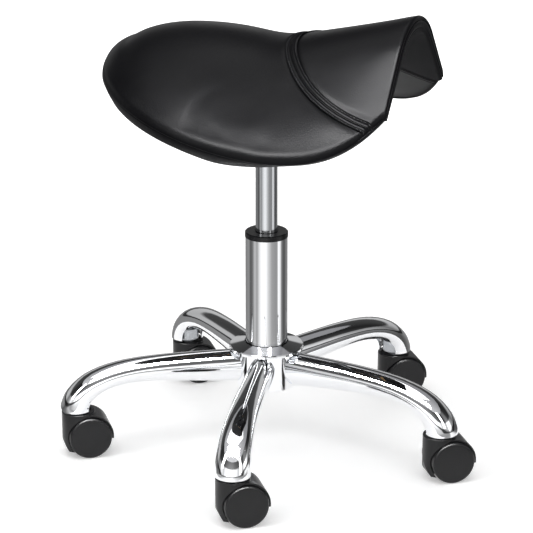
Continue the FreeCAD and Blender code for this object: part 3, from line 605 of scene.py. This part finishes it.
def row_places(reach, first, count):
    """Where the rows lie: by equal angles round the tail, then by equal steps to the front."""
    tail = [WIDE_X - reach * math.cos(math.radians(a)) for a in np.linspace(first, 90.0, count)]
    return tail + list(np.arange(WIDE_X + STEP, ROLL_X - 0.5, STEP)) + [ROLL_X]


stations = row_places(WIDE_X - TAIL_X, 0.25, 158)
front_turn = [(ROLL_X + along, back) for back, along in (rolled(EDGE_ROLL, a) for a in range(15, 91, 15))]
tuck_steps = [rolled(TUCK, a) for a in (30, 60, 90)] + [(TUCK + TUCK_RUN, TUCK)]
front_turn += [(FRONT_X - back, EDGE_ROLL + down) for back, down in tuck_steps]
places = [(x, x, 0.0) for x in stations] + [(ROLL_X, x, inset) for x, inset in front_turn]
shares = np.linspace(0.0, 1.0, 100)


def top_row(section_x, x, inset):
    """Half a row across the top, from the middle to the tucked edge, with the distance to the edge seam."""
    s = top_section(section_x, inset)
    length = s["crown"] * s["slope"] + s["flank"] + s["shoulder"] * (math.pi / 2 - s["slope"])
    points, edge = [], []
    for share in shares:
        y, z = top_point(s, share)
        points.append((x, y, round_tail(section_x, y, z)))
        edge.append((1 - share) * length)
    n = outline_normal(section_x, s["width"])
    y, z = points[-1][1:]
    for inward, down in tuck_steps:
        points.append((x - n.x * inward, y - n.y * inward, z - down))
        edge.append(0.0)
    return points, edge


def loose(distance, keep, ease):
    """0 up to this distance from a seam, then rising to 1."""
    return np.clip((distance - keep) / ease, 0, 1)


top_points, top_edge = [], []
for section_x, x, inset in places:
    half, edge = top_row(section_x, x, inset)
    top_points += whole_row(half)
    top_edge += list(reversed(edge[1:])) + edge
columns = len(top_points) // len(places)
top_faces = grid_faces(len(places), columns)
grid = np.array(top_points).reshape(len(places), columns, 3)
free = loose(np.array(top_edge).reshape(len(places), columns), keep=10.0, ease=30.0)
free *= loose(FRONT_X - grid[:, :, 0], keep=14.0, ease=20.0)
free *= loose(grid[:, :, 0] - TAIL_X, keep=25.0, ease=25.0)
for _ in range(ROUNDS):
    mean = grid.copy()
    mean[1:-1, 1:-1] = (grid[:-2, 1:-1] + grid[2:, 1:-1] + grid[1:-1, :-2] + grid[1:-1, 2:]) / 4
    grid[:, :, 2] += PULL * free * (mean - grid)[:, :, 2]
top_points = [tuple(p) for p in grid.reshape(-1, 3)]
print("top grid", len(places), "by", columns)


# %% [markdown]
# The front seam is a circle in plan, laid on the curved top. Leather on both sides is folded back under
# itself and stitched down 5 mm from the joint, so two soft welts stand up with a dark line between them,
# and the panels dip where the stitches pull them down.

# %% Panels
SEAM_X, SEAM_RADIUS = 158.5, 119.5
DIP_REACH, DIP_EASE, DIP_DEPTH = 8.5, 2.5, 1.1


def seam_distance(p):
    """Distance in plan from the seam's circle, positive on the rear panel's side."""
    return math.hypot(p[0] - SEAM_X, p[1]) - SEAM_RADIUS


top_array = np.array(top_points)
top_normals = grid_normals(top_points, len(places), columns)
seam_gap = np.array([abs(seam_distance(p)) for p in top_points])
share = np.clip((DIP_REACH - seam_gap) / DIP_EASE, 0, 1)
dipped = top_array - top_normals * (DIP_DEPTH * share * share * (3 - 2 * share))[:, None]
near_front = np.maximum(0.0, FRONT_X - top_array[:, 0])
near_seam = np.minimum(np.minimum(seam_gap, np.array(top_edge)), near_front)
behind = [seam_distance(np.mean([top_points[i] for i in f], axis=0)) > 0 for f in top_faces]
leather_pieces = []
for name, node, wanted in (("rear_cover", "rear_cover_panel", behind),
                           ("front_cover", "front_cover_panel", [not b for b in behind])):
    points, faces, used = part_of(dipped.tolist(), top_faces, wanted)
    panel = mesh_piece(name, points, faces, LEATHER, [node])
    mark_seams(panel, near_seam[used])
    leather_pieces.append(panel)


# %% [markdown]
# A seam strip is a ribbon with a shaped cross-section. It follows a line on the cover, and each of its
# points is dropped onto the cover before the shape lifts it, so it lies close whichever way the surface
# bends.

# %% Seam strips and stitches
# Half of each cross-section, from the seam outwards: distance across and height over the cover.
WELT = [(0.0, -0.9), (0.5, 0.05), (1.2, 0.75), (2.1, 1.05), (3.2, 0.95), (4.2, 0.5), (5.0, -0.2),
        (5.9, -0.55), (7.0, -1.3)]
# A stitch's rings: place along it, girth and height, each as a share.
STITCH = ((-0.5, 0.5, -0.5), (-0.3, 1.0, 0.0), (0.0, 1.1, 0.1), (0.3, 1.0, 0.0), (0.5, 0.5, -0.5))
STITCH_SIDES = 6
top_tree = BVHTree.FromPolygons(top_points, top_faces)


def even_path(points, step):
    """The same line with its points a step apart."""
    p = np.array(points)
    run = np.concatenate([[0], np.cumsum(np.linalg.norm(np.diff(p, axis=0), axis=1))])
    at = np.linspace(0, run[-1], int(run[-1] / step) + 1)
    return np.stack([np.interp(at, run, p[:, k]) for k in range(3)], axis=1)


def frames(path, tree):
    """Place on the cover, sideways direction and forward direction along a line."""
    out = []
    for i, p in enumerate(path):
        t = Vector(path[min(i + 1, len(path) - 1)] - path[max(i - 1, 0)]).normalized()
        spot, normal, index, gap = tree.find_nearest(Vector(p))
        out.append((spot, t.cross(normal).normalized(), t))
    return out


def ribbon(name, path, tree, half_profile, material, nodes=()):
    profile = [(-across, height) for across, height in reversed(half_profile[1:])] + half_profile
    points = []
    for spot, side, along in frames(path, tree):
        for across, height in profile:
            place, n, index, gap = tree.find_nearest(spot + side * across)
            points.append(tuple(place + n * height))
    piece = mesh_piece(name, points, grid_faces(len(path), len(profile)), material, nodes)
    mark_seams(piece, [2.0] * len(points))
    return piece


def stitches(name, path, tree, offset, pitch, length, thick, lift):
    """Two rows of thread, each stitch a short round bar with its ends sunk in the leather."""
    points, faces = [], []
    bar = grid_faces(len(STITCH), STITCH_SIDES, closed=True)
    for spot, side, along in frames(even_path(path, pitch), tree):
        for sideways in (-offset, offset):
            place, n, index, gap = tree.find_nearest(spot + side * sideways)
            base = len(points)
            for share, girth, height in STITCH:
                centre = place + along * (share * length) + n * (lift + height * thick)
                for a in range(STITCH_SIDES):
                    turn = math.radians(360 / STITCH_SIDES * a)
                    round_it = side * math.cos(turn) + n * math.sin(turn)
                    points.append(tuple(centre + round_it * thick / 2 * girth))
            faces += [tuple(base + i for i in f) for f in bar]
    return mesh_piece(name, points, faces, THREAD)


seam_line = []
for a in np.linspace(80, 180, 600):
    x, y = SEAM_X + SEAM_RADIUS * math.cos(math.radians(a)), SEAM_RADIUS * math.sin(math.radians(a))
    if y < half_width(x) - 0.15:
        seam_line.append((x, y, top_height(x, y)))
seam_path = even_path(mirrored(seam_line), 1.5)
leather_pieces.append(ribbon("seam_welts", seam_path, top_tree, WELT, LEATHER, ["seam_strips"]))
leather_pieces.append(stitches("seam_stitches", seam_path, top_tree, offset=5.3, pitch=4.2, length=3.0,
                               thick=0.8, lift=-0.05))


# %% [markdown]
# Under the edge seam a narrow band closes the side, and at the front it turns up and over the arch as one
# strip. Its two edges tuck in like those of the panels. The band is drawn between two lines: the edge seam
# above, and the seam to the underside below it. Both begin and end at the middle of the tail, 1.5 mm apart,
# where a real strip has its joint.

# %% Side band
TAIL_IN, SIDE_IN = 7.0, 9.5                             # how far the underside's edge lies inside the seam
FOOT_REACH, FOOT_HALF = WIDE_X - TAIL_X - TAIL_IN, HALF_WIDTH - SIDE_IN
BAND_TAIL, BAND_LESS_REAR, BAND_LESS_FRONT = 18.0, 3.0, 10.5
BELOW_CROWN, BELOW_CROWN_LESS, BELOW_FLANK = 280.0, 221.0, 0.35
# Half of the band's cross-section: share of the way from one seam to the middle, and how far it stands out.
BAND_HALF = [(0.0, -3.2), (0.0, -1.6), (0.03, -0.6), (0.09, 0.2), (0.2, 0.6), (0.35, 0.9)]
BAND = BAND_HALF + [(0.5, 1.0)] + [(1.0 - share, out) for share, out in reversed(BAND_HALF)]
BAND_SUNK = 0.4


def band_tall(x):
    """Height of the band: 18 mm at the tail, 15 mm along the rear sides and 4.5 mm before them."""
    tall = BAND_TAIL - BAND_LESS_REAR * smooth((x + 150.0) / 140.0)
    return tall - BAND_LESS_FRONT * smooth((x + 10.0) / 110.0)


def foot_edge(x):
    """Where the band meets the underside, for the edge seam's point at x."""
    y = half_width(x)
    n = outline_normal(x, y)
    z = rim_height(x) - band_tall(x)
    if x < WIDE_X:
        a = math.acos((WIDE_X - x) / (WIDE_X - TAIL_X))
        return (WIDE_X - FOOT_REACH * math.cos(a), FOOT_HALF * math.sin(a), z), n
    return (x, y - SIDE_IN, z), n


def below_section(x, inset=0.0):
    """Shape values of the underside across x."""
    under = ridge_height(x) - pad_depth(x)
    if x < WIDE_X:
        foot_y = FOOT_HALF * math.sqrt(max(0.0, 1 - ((WIDE_X - x) / FOOT_REACH) ** 2))
        edge_x = WIDE_X - (WIDE_X - x) * (WIDE_X - TAIL_X) / FOOT_REACH
        foot_z = rim_height(edge_x) - band_tall(edge_x)
    else:
        foot_y = half_width(x) - SIDE_IN
        foot_z = rim_height(x) - band_tall(x)
    wide = BELOW_CROWN - BELOW_CROWN_LESS * smooth((x - DIP_X) / (FRONT_X - DIP_X))
    drop = max(2.0, under - foot_z)
    crown, flank, slope = crown_and_flank(max(foot_y, 0.5), drop, wide, 0.0, BELOW_FLANK)
    return dict(crown=crown + inset, flank=flank, slope=slope, centre=foot_z + drop - crown, foot_y=foot_y,
                foot_z=foot_z)


def below_point(s, share):
    """Point (y, z) on the underside, share 0 on the middle line and 1 at its edge."""
    arc = s["crown"] * s["slope"]
    run = share * (arc + s["flank"])
    c, n = math.cos(s["slope"]), math.sin(s["slope"])
    if run <= arc:
        a = run / s["crown"]
        return s["crown"] * math.sin(a), s["centre"] + s["crown"] * math.cos(a)
    return s["crown"] * n + (run - arc) * c, s["centre"] + s["crown"] * c - (run - arc) * n


upper, lower, outward = [], [], []
for x in stations:
    foot, n = foot_edge(x)
    upper.append((x, half_width(x), rim_height(x) - TUCK * 0.6))
    lower.append(foot)
    outward.append(tuple(n))
front_top, front_below = top_section(ROLL_X, EDGE_ROLL + TUCK), below_section(ROLL_X, EDGE_ROLL)
for share in np.linspace(1.0, 0.0, 70)[1:]:
    y, z = top_point(front_top, share)
    upper.append((FRONT_X, y, z))
    y, z = below_point(front_below, share)
    lower.append((FRONT_X, y, z))
    outward.append((1.0, 0.0, 0.0))


def eased(points, rounds):
    """Softens a line's corners."""
    p = np.array(points)
    for _ in range(rounds):
        p[1:-1] = (p[:-2] + 2 * p[1:-1] + p[2:]) / 4
    return p


upper, lower = eased(mirrored(upper), 6), eased(mirrored(lower), 6)
outward = eased(mirrored(outward), 10)
band_points = []
for p, q, n in zip(upper, lower, outward):
    n = n / max(np.linalg.norm(n), 1e-9)
    for share, out in BAND:
        band_points.append(tuple(p + (q - p) * share + n * (out - BAND_SUNK)))
band = mesh_piece("side_band_cover", band_points, grid_faces(len(upper), len(BAND)), LEATHER, ["side_band"])
mark_seams(band, [3.0] * len(band_points))
leather_pieces.append(band)

# %% [markdown]
# The underside has two parts. The arch under the raised front is lined with padded leather, because the
# rider's thighs touch it. Behind it, felt closes the seat round the packing block. A single seam joins
# them.

# %% Lining and felt
LINING_X, LINING_RADIUS = 180.0, 100.0
BLOCK_HALF_X, BLOCK_HALF_Y = 79, 68                     # opening for the packing block
LINING_WELT = [(0.0, -0.5), (0.8, 0.6), (1.8, 0.75), (2.8, 0.3), (3.6, -0.4)]
EASE_END, EASE_RUN = -100.0, 40.0                       # before here the underside rises softly from its edge
EASE_SPAN, EASE_DEPTH = 90.0, 30.0
UNDER_TUCK = 0.4
below_places = [(x, x, 0.0) for x in row_places(FOOT_REACH, 0.4, 140)]
below_places += [(ROLL_X, x, inset) for x, inset in front_turn]
below_shares = np.linspace(0.0, 1.0, 90)


def below_row(section_x, x, inset):
    """Half a row across the underside, eased at the tail and turned up at its edge."""
    s = below_section(section_x, inset)
    full = below_point(s, 1.0)[0]
    fit = s["foot_y"] / full if full > 0 and inset == 0.0 else 1.0
    points = []
    for share in below_shares:
        y, z = below_point(s, share)
        y *= fit
        if section_x < EASE_END:
            u, v = (WIDE_X - x) / FOOT_REACH, y / FOOT_HALF
            d = max(0.0, (1 - u * u - v * v)) * EASE_SPAN
            let_go = (section_x - EASE_END + EASE_RUN) / EASE_RUN
            z = s["foot_z"] + (z - s["foot_z"]) * smooth(max(d / EASE_DEPTH, let_go))
        points.append((x, y, z))
    n = outline_normal(section_x, max(points[-1][1], 0.1))
    y, z = points[-1][1:]
    for inward, up in tuck_steps:
        points.append((x - n.x * inward * UNDER_TUCK, y - n.y * inward * UNDER_TUCK, z + up))
    return points


below_points = []
for section_x, x, inset in below_places:
    below_points += whole_row(below_row(section_x, x, inset))
below_columns = len(below_points) // len(below_places)
below_faces = [tuple(reversed(f)) for f in grid_faces(len(below_places), below_columns)]
centres = [np.mean([below_points[i] for i in f], axis=0) for f in below_faces]
in_lining = [math.hypot(c[0] - LINING_X, c[1]) < LINING_RADIUS for c in centres]
in_block = [abs(c[0]) < BLOCK_HALF_X and abs(c[1]) < BLOCK_HALF_Y for c in centres]
in_felt = [not a and not b for a, b in zip(in_lining, in_block)]
below_tree = BVHTree.FromPolygons(below_points, below_faces)
for name, node, wanted, material, slot in (
        ("arch_lining_cover", "arch_lining", in_lining, LINING_LEATHER, "black_leather"),
        ("underside_felt", "bottom_cover", in_felt, FELT, "underside_fabric")):
    points, faces, used = part_of(below_points, below_faces, wanted)
    panel = mesh_piece(name, points, faces, material, [node])
    mark_seams(panel, [min(20.0, abs(math.hypot(p[0] - LINING_X, p[1]) - LINING_RADIUS)) for p in points])
    leather_pieces.append(panel)

lining_line = []
for a in np.radians(np.linspace(92, 180, 400)):
    x, y = LINING_X + LINING_RADIUS * math.cos(a), LINING_RADIUS * math.sin(a)
    if x < ROLL_X and y < half_width(x) - SIDE_IN - 0.3:
        spot = below_tree.ray_cast(Vector((x, y, 300.0)), Vector((0, 0, 1)))[0]
        if spot is not None:
            lining_line.append(tuple(spot))
lining_path = even_path(mirrored(lining_line), 1.5)
leather_pieces.append(ribbon("lining_seam", lining_path, below_tree, LINING_WELT, LINING_LEATHER))

# %% [markdown]
# The saddle's stiffness comes from a moulded pan of birch veneers between the foam and the lining. It
# follows the lining a few millimetres above it and stops short of the edges, so that no hard edge can be
# felt.

# %% Seat pan
PAN_UNDER, PAN_OVER = 1.6, 7.6                          # heights over the lining
PAN_TAIL, PAN_FRONT, PAN_MARGIN = -172.0, 168.0, 14
below_up = grid_normals(below_points, len(below_places), below_columns)
below_up *= np.sign(below_up[:, 2:3])
below_array = np.array(below_points)
pan_rows = [k for k, (section_x, x, inset) in enumerate(below_places)
            if inset == 0.0 and PAN_TAIL < x < PAN_FRONT][::2]
pan_points = []
for k in pan_rows:
    span = slice(k * below_columns + PAN_MARGIN, (k + 1) * below_columns - PAN_MARGIN, 3)
    spots, ups = below_array[span], below_up[span]
    pan_points += [tuple(p) for p in spots + ups * PAN_UNDER]
    pan_points += [tuple(p) for p in (spots + ups * PAN_OVER)[::-1]]
around, last = len(pan_points) // len(pan_rows), len(pan_points) - 1
pan_faces = grid_faces(len(pan_rows), around, closed=True)
pan_faces += [tuple(range(around)), tuple(range(last, last - around, -1))]
mesh_piece("veneer_seat_pan", pan_points, pan_faces, PLYWOOD, ["seat_pan"])

# %% [markdown]
# The foam presses the cover out a little wherever no seam holds it. Cloth with air pressure shows how much:
# a closed copy of the pad, slightly small, is remeshed, its seams are pinned, and it is blown up for twenty
# frames. The movement is capped at 2.5 mm, because this cover is tight. The same movement then carries the
# leather pieces.

# %% Foam cushion
CAP, SHRINK, VOXEL = 2.5, 2.4, 5.0


def cushion_form(across=40, tail_rings=40, front_rings=36):
    """A closed pad just inside the cover, as rings of points along the seat."""
    reach = WIDE_X - TAIL_X - SHRINK
    rings = [WIDE_X - reach * math.cos(math.radians(a)) for a in np.linspace(4.0, 90.0, tail_rings)]
    rings += list(np.linspace(WIDE_X, FRONT_X - SHRINK, front_rings))[1:]
    points = []
    for x in rings:
        s, b = top_section(x, SHRINK), below_section(x, SHRINK)
        over, under = [], []
        for share in np.linspace(0, 1, across):
            y, z = top_point(s, share)
            over.append((x, max(0.0, y), round_tail(x, y, z) - (SHRINK if x < LIFT_X else 0.0)))
            y, z = below_point(b, share * 0.97)
            under.append((x, max(0.0, min(y, half_width(x) - SHRINK - 1)), z))
        ring = over + list(reversed(under))
        points += ring + [(p, -q, r) for p, q, r in reversed(ring[1:-1])]
    size = 4 * across - 2
    faces = grid_faces(len(rings), size, closed=True)
    faces += [tuple(range(size)), tuple(reversed(range(len(points) - size, len(points))))]
    return points, faces


def remeshed(source, voxel):
    """A copy of the piece with even faces, made with the Remesh modifier."""
    change = source.modifiers.new("even_faces", "REMESH")
    change.mode = "VOXEL"
    change.voxel_size = voxel * MM
    mesh = bpy.data.meshes.new_from_object(source.evaluated_get(bpy.context.evaluated_depsgraph_get()))
    source.modifiers.remove(change)
    return mesh


points, faces = cushion_form()
rough = bpy.data.objects.new("cushion_rough", bpy.data.meshes.new("cushion_rough"))
rough.data.from_pydata([tuple(c * MM for c in p) for p in points], [], faces)
bpy.context.scene.collection.objects.link(rough)
bpy.context.view_layer.update()
cushion = bpy.data.objects.new("saddle_cushion", remeshed(rough, VOXEL))
bpy.context.scene.collection.objects.link(cushion)
bpy.data.objects.remove(rough)
rest = np.array([v.co for v in cushion.data.vertices]) / MM
print("cushion", len(rest), "points")

# %% [markdown]
# The seams, the front edge and the pan under the foam hold the cover: there the cloth is pinned. Everywhere
# else the air lifts it.

# %% Blow up the cushion
FRAMES = 20
SEAM_HOLD, EDGE_HOLD, FRONT_HOLD = 7.0, 9.0, 8.0
PAN_DEPTH, PAN_EDGE, PAN_HALF = 0.7, 20.0, 40.0


def held(p):
    """1 where a seam or the pan holds the cover, 0 where the foam is free to swell."""
    x, y, z = p
    edge = abs(half_width(min(max(x, TAIL_X + 2), FRONT_X)) - abs(y))
    on_top = z > rim_height(x) + 3
    on_seam = on_top and abs(seam_distance(p)) < SEAM_HOLD
    on_edge = edge < EDGE_HOLD and z < rim_height(x) + 5
    on_pan = z < ridge_height(x) - pad_depth(x) * PAN_DEPTH and edge > PAN_EDGE and abs(y) < PAN_HALF
    return 1.0 if on_seam or on_edge or on_pan or not on_top or x > FRONT_X - FRONT_HOLD else 0.0


swell = np.zeros_like(rest)
pins = cushion.vertex_groups.new(name="held")
for i, p in enumerate(rest):
    pins.add([i], held(p), "REPLACE")
cloth = cushion.modifiers.new("pressure", "CLOTH")
settings = cloth.settings
settings.quality = 6
settings.mass = 0.3
settings.tension_stiffness = settings.compression_stiffness = 12
settings.bending_stiffness = 0.8
settings.use_pressure = True
settings.uniform_pressure_force = 4.0
settings.vertex_group_mass = "held"
settings.effector_weights.gravity = 0.0
cloth.point_cache.frame_start, cloth.point_cache.frame_end = 1, FRAMES
for number in range(1, FRAMES + 1):
    bpy.context.scene.frame_set(number)
blown = cushion.evaluated_get(bpy.context.evaluated_depsgraph_get()).to_mesh()
swell = np.array([v.co for v in blown.vertices]) / MM - rest
reach = np.linalg.norm(swell, axis=1, keepdims=True)
swell *= np.minimum(1.0, CAP / np.maximum(reach, 1e-6))
cushion.modifiers.remove(cloth)
cushion.vertex_groups.clear()
bpy.context.scene.frame_set(1)
for v, p, d in zip(cushion.data.vertices, rest, swell):
    v.co = (p + d) * MM
print("largest swell", round(float(np.linalg.norm(swell, axis=1).max()), 2), "mm")

cushion.data.shade_smooth()
cushion.data.materials.clear()
cushion.data.materials.append(LINING_LEATHER)
mark_seams(cushion, [20.0] * len(cushion.data.vertices))
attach(cushion, "seat")
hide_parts("seat_foam")

# %% [markdown]
# Each point of the leather takes the movement of the cushion's nearest points, so the panels swell between
# their seams and stay put where thread holds them.

# %% Carry the leather
SHARED, SPREAD = 28, 9.0            # cushion points that a leather point listens to, and how far in mm
tree = tree_of(rest)
moving = leather_pieces if np.any(swell) else []
for piece in moving:
    for v in piece.data.vertices:
        near = tree.find_n(v.co / MM, SHARED)
        weights = np.array([math.exp(-((gap / SPREAD) ** 2)) + 1e-6 for place, i, gap in near])
        move = (swell[[i for place, i, gap in near]] * weights[:, None]).sum(axis=0) / weights.sum()
        v.co += Vector(move * MM)
    piece.data.update()
print(len(moving), "leather pieces follow the cushion")

# %% [markdown]
# A white product studio. The floor is a large pale sheet that takes the shadow of the stool. A little light
# of its own, which only the camera and the metal see, keeps it white away from the stool and lets the
# shadow show near it.

# %% Floor
def sheet_of(name, points, faces, material):
    """A piece of the studio, in metres."""
    mesh = bpy.data.meshes.new(name)
    mesh.from_pydata(points, [], faces)
    mesh.materials.append(material)
    sheet = bpy.data.objects.new(name, mesh)
    bpy.context.scene.collection.objects.link(sheet)
    return sheet


FLOOR_HALF = 6.0
GLOW_NEAR, GLOW_FAR, GLOW_START, GLOW_END = 0.30, 1.0, 0.5, 1.8
paper, place = new_material("white_backdrop_paper")
fibre = add(paper, "ShaderNodeTexNoise", {"Scale": 60.0, "Detail": 2.0}).outputs["Fac"]
ray = add(paper, "ShaderNodeLightPath")
seen = math_of(paper, "MAXIMUM", ray.outputs["Is Camera Ray"], ray.outputs["Is Glossy Ray"])
away = add(paper, "ShaderNodeVectorMath", {"operation": "LENGTH"}, {0: place}).outputs["Value"]
glow = spread(paper, away, GLOW_NEAR, GLOW_FAR, (GLOW_START, GLOW_END), "SMOOTHSTEP")
surface(paper, {"Base Color": linear("#f4f4f4"), "Roughness": 0.9, "Emission Color": linear("#ffffff")},
        {"Normal": relief(paper, fibre, 0.02, 1.0),
         "Emission Strength": math_of(paper, "MULTIPLY", seen, glow)})
corners = [(x * FLOOR_HALF, y * FLOOR_HALF, 0.0) for x, y in ((-1, -1), (1, -1), (1, 1), (-1, 1))]
floor = sheet_of("studio_floor", corners, [(0, 1, 2, 3)], paper)

# %% [markdown]
# The room round the floor is white to the camera. Metal that looks past the tent round the stool sees it
# lighter on the camera's side than on the far side, and everything matt gets an even grey light from it.

# %% World
WHITE, EVEN = (1.0, 1.0, 1.0, 1.0), (0.5, 0.5, 0.5, 1.0)
WALLS = ((0.15, (0.75, 0.75, 0.76, 1.0)), (0.75, (0.30, 0.30, 0.31, 1.0)))

world = bpy.data.worlds.new("white_room")
bpy.context.scene.world = world
world.use_nodes = True
world.node_tree.nodes.clear()
ray = add(world, "ShaderNodeLightPath").outputs
direction = add(world, "ShaderNodeTexCoord").outputs["Generated"]
split = add(world, "ShaderNodeSeparateXYZ", links={0: direction})
depth = add(world, "ShaderNodeMapRange", {"From Min": -1.0, "From Max": 1.0}, {"Value": split.outputs["Y"]})
walls = add(world, "ShaderNodeValToRGB", links={0: depth.outputs[0]})
for step, (position, colour) in zip(walls.color_ramp.elements, WALLS):
    step.position = position
    step.color = colour
seen = math_of(world, "MAXIMUM", ray["Is Camera Ray"], ray["Is Transmission Ray"])
room = add(world, "ShaderNodeMix", {"data_type": "RGBA", 6: EVEN},
           {0: ray["Is Glossy Ray"], 7: walls.outputs[0]})
shown = add(world, "ShaderNodeMix", {"data_type": "RGBA", 7: WHITE}, {0: seen, 6: room.outputs[2]})
background = add(world, "ShaderNodeBackground", {"Strength": 1.0}, {"Color": shown.outputs[2]})
add(world, "ShaderNodeOutputWorld", links={"Surface": background.outputs[0]})
print("world ready")

# %% [markdown]
# Three soft lamps light the stool from the camera's left, from its right and from above. A fourth, a long
# strip high on the camera's side, is hidden from matt surfaces. It only draws the highlight along the
# leather's shoulder.


# %% Lamps
def soft_lamp(name, place, aim, size, watts):
    data = bpy.data.lights.new(name, "AREA")
    data.shape = "RECTANGLE"
    data.size, data.size_y = size
    data.energy = watts
    lamp = bpy.data.objects.new(name, data)
    lamp.location = place
    lamp.rotation_euler = (Vector(aim) - Vector(place)).to_track_quat("-Z", "Y").to_euler()
    bpy.context.scene.collection.objects.link(lamp)
    print("lamp", name, watts, "W")
    return lamp


middle = (0.0, 0.0, 0.3)
soft_lamp("left_strip", (-1.7, -1.9, 1.5), middle, (0.5, 1.6), 16)
soft_lamp("right_strip", (2.3, -1.2, 1.3), middle, (0.5, 1.8), 14)
soft_lamp("ceiling", (-0.2, 0.1, 2.5), middle, (2.4, 2.4), 26)
strip = soft_lamp("shoulder_strip", (0.15, -1.0, 1.92), (0.0, -0.1, 0.45), (2.2, 0.6), 230)
strip.visible_diffuse = False

# %% [markdown]
# Chrome has no colour of its own: it shows the room. Round the stool stands a tent of pale and grey panels
# that only mirror rays can see. From the side a column shows a slice of every panel, which is where its
# upright light and dark bands come from, and the dark skirt of the tent draws the long dark line along each
# leg.

# %% Tent for the metal
# Brightness at each angle round the stool, in degrees, and at each share of the tent's height.
PANELS = [(-180, 0.29), (-163, 0.10), (-148, 0.20), (-134, 0.60), (-120, 0.36), (-106, 0.90), (-92, 1.3),
          (-74, 1.3), (-60, 0.80), (-40, 0.40), (-18, 0.33), (-8, 0.36), (-2, 1.2), (10, 1.0), (22, 0.20),
          (42, 0.08), (66, 0.24), (100, 0.30), (150, 0.24), (180, 0.29)]
HEIGHTS = [(0.0, 1.0), (0.010, 1.0), (0.030, 0.12), (0.10, 0.12), (0.15, 1.9), (0.42, 1.9), (0.52, 0.25),
           (1.0, 0.15)]
# Radius and height of the tent's rings, in metres. The first lies just over the floor, outside the casters.
TENT_RINGS = [(0.36, 0.0015), (1.4, 0.003), (2.7, 0.01), (3.2, 0.4), (3.4, 1.4), (3.1, 2.8)]
TENT_SIDES = 72


def ramp(material, source, stops):
    node = add(material, "ShaderNodeValToRGB", links={0: source})
    steps = node.color_ramp.elements
    while len(steps) < len(stops):
        steps.new(0.5)
    for step, (place, level) in zip(steps, stops):
        step.position, step.color = place, (level, level, level, 1.0)
    return node.outputs[0]


panels, place = new_material("tent_of_grey_panels")
axes = add(panels, "ShaderNodeSeparateXYZ", links={0: place}).outputs
turn = math_of(panels, "ARCTAN2", axes["Y"], axes["X"])
share_round = spread(panels, turn, 0.0, 1.0, (-math.pi, math.pi))
share_high = spread(panels, axes["Z"], 0.0, 1.0, (0.0, TENT_RINGS[-1][1]))
level = add(panels, "ShaderNodeMix", {"data_type": "RGBA", "blend_type": "MULTIPLY", 0: 1.0},
            {6: ramp(panels, share_round, [((a + 180) / 360, b) for a, b in PANELS]),
             7: ramp(panels, share_high, HEIGHTS)})
finish_material(panels, add(panels, "ShaderNodeEmission", {"Strength": 1.0}, {"Color": level.outputs[2]}))
spokes = [math.radians(360 / TENT_SIDES * k) for k in range(TENT_SIDES)]
tent_points = [(r * math.cos(a), r * math.sin(a), z) for r, z in TENT_RINGS for a in spokes]
tent_faces = grid_faces(len(TENT_RINGS), TENT_SIDES, closed=True)
tent = sheet_of("mirror_tent", tent_points, tent_faces, panels)
tent.visible_camera = tent.visible_shadow = tent.visible_diffuse = tent.visible_transmission = False
print("tent has", len(PANELS), "levels round and", len(HEIGHTS), "up")

# %% [markdown]
# The last cell sets the view transform to Standard.

# %% Finish
bpy.context.scene.view_settings.view_transform = "Standard"
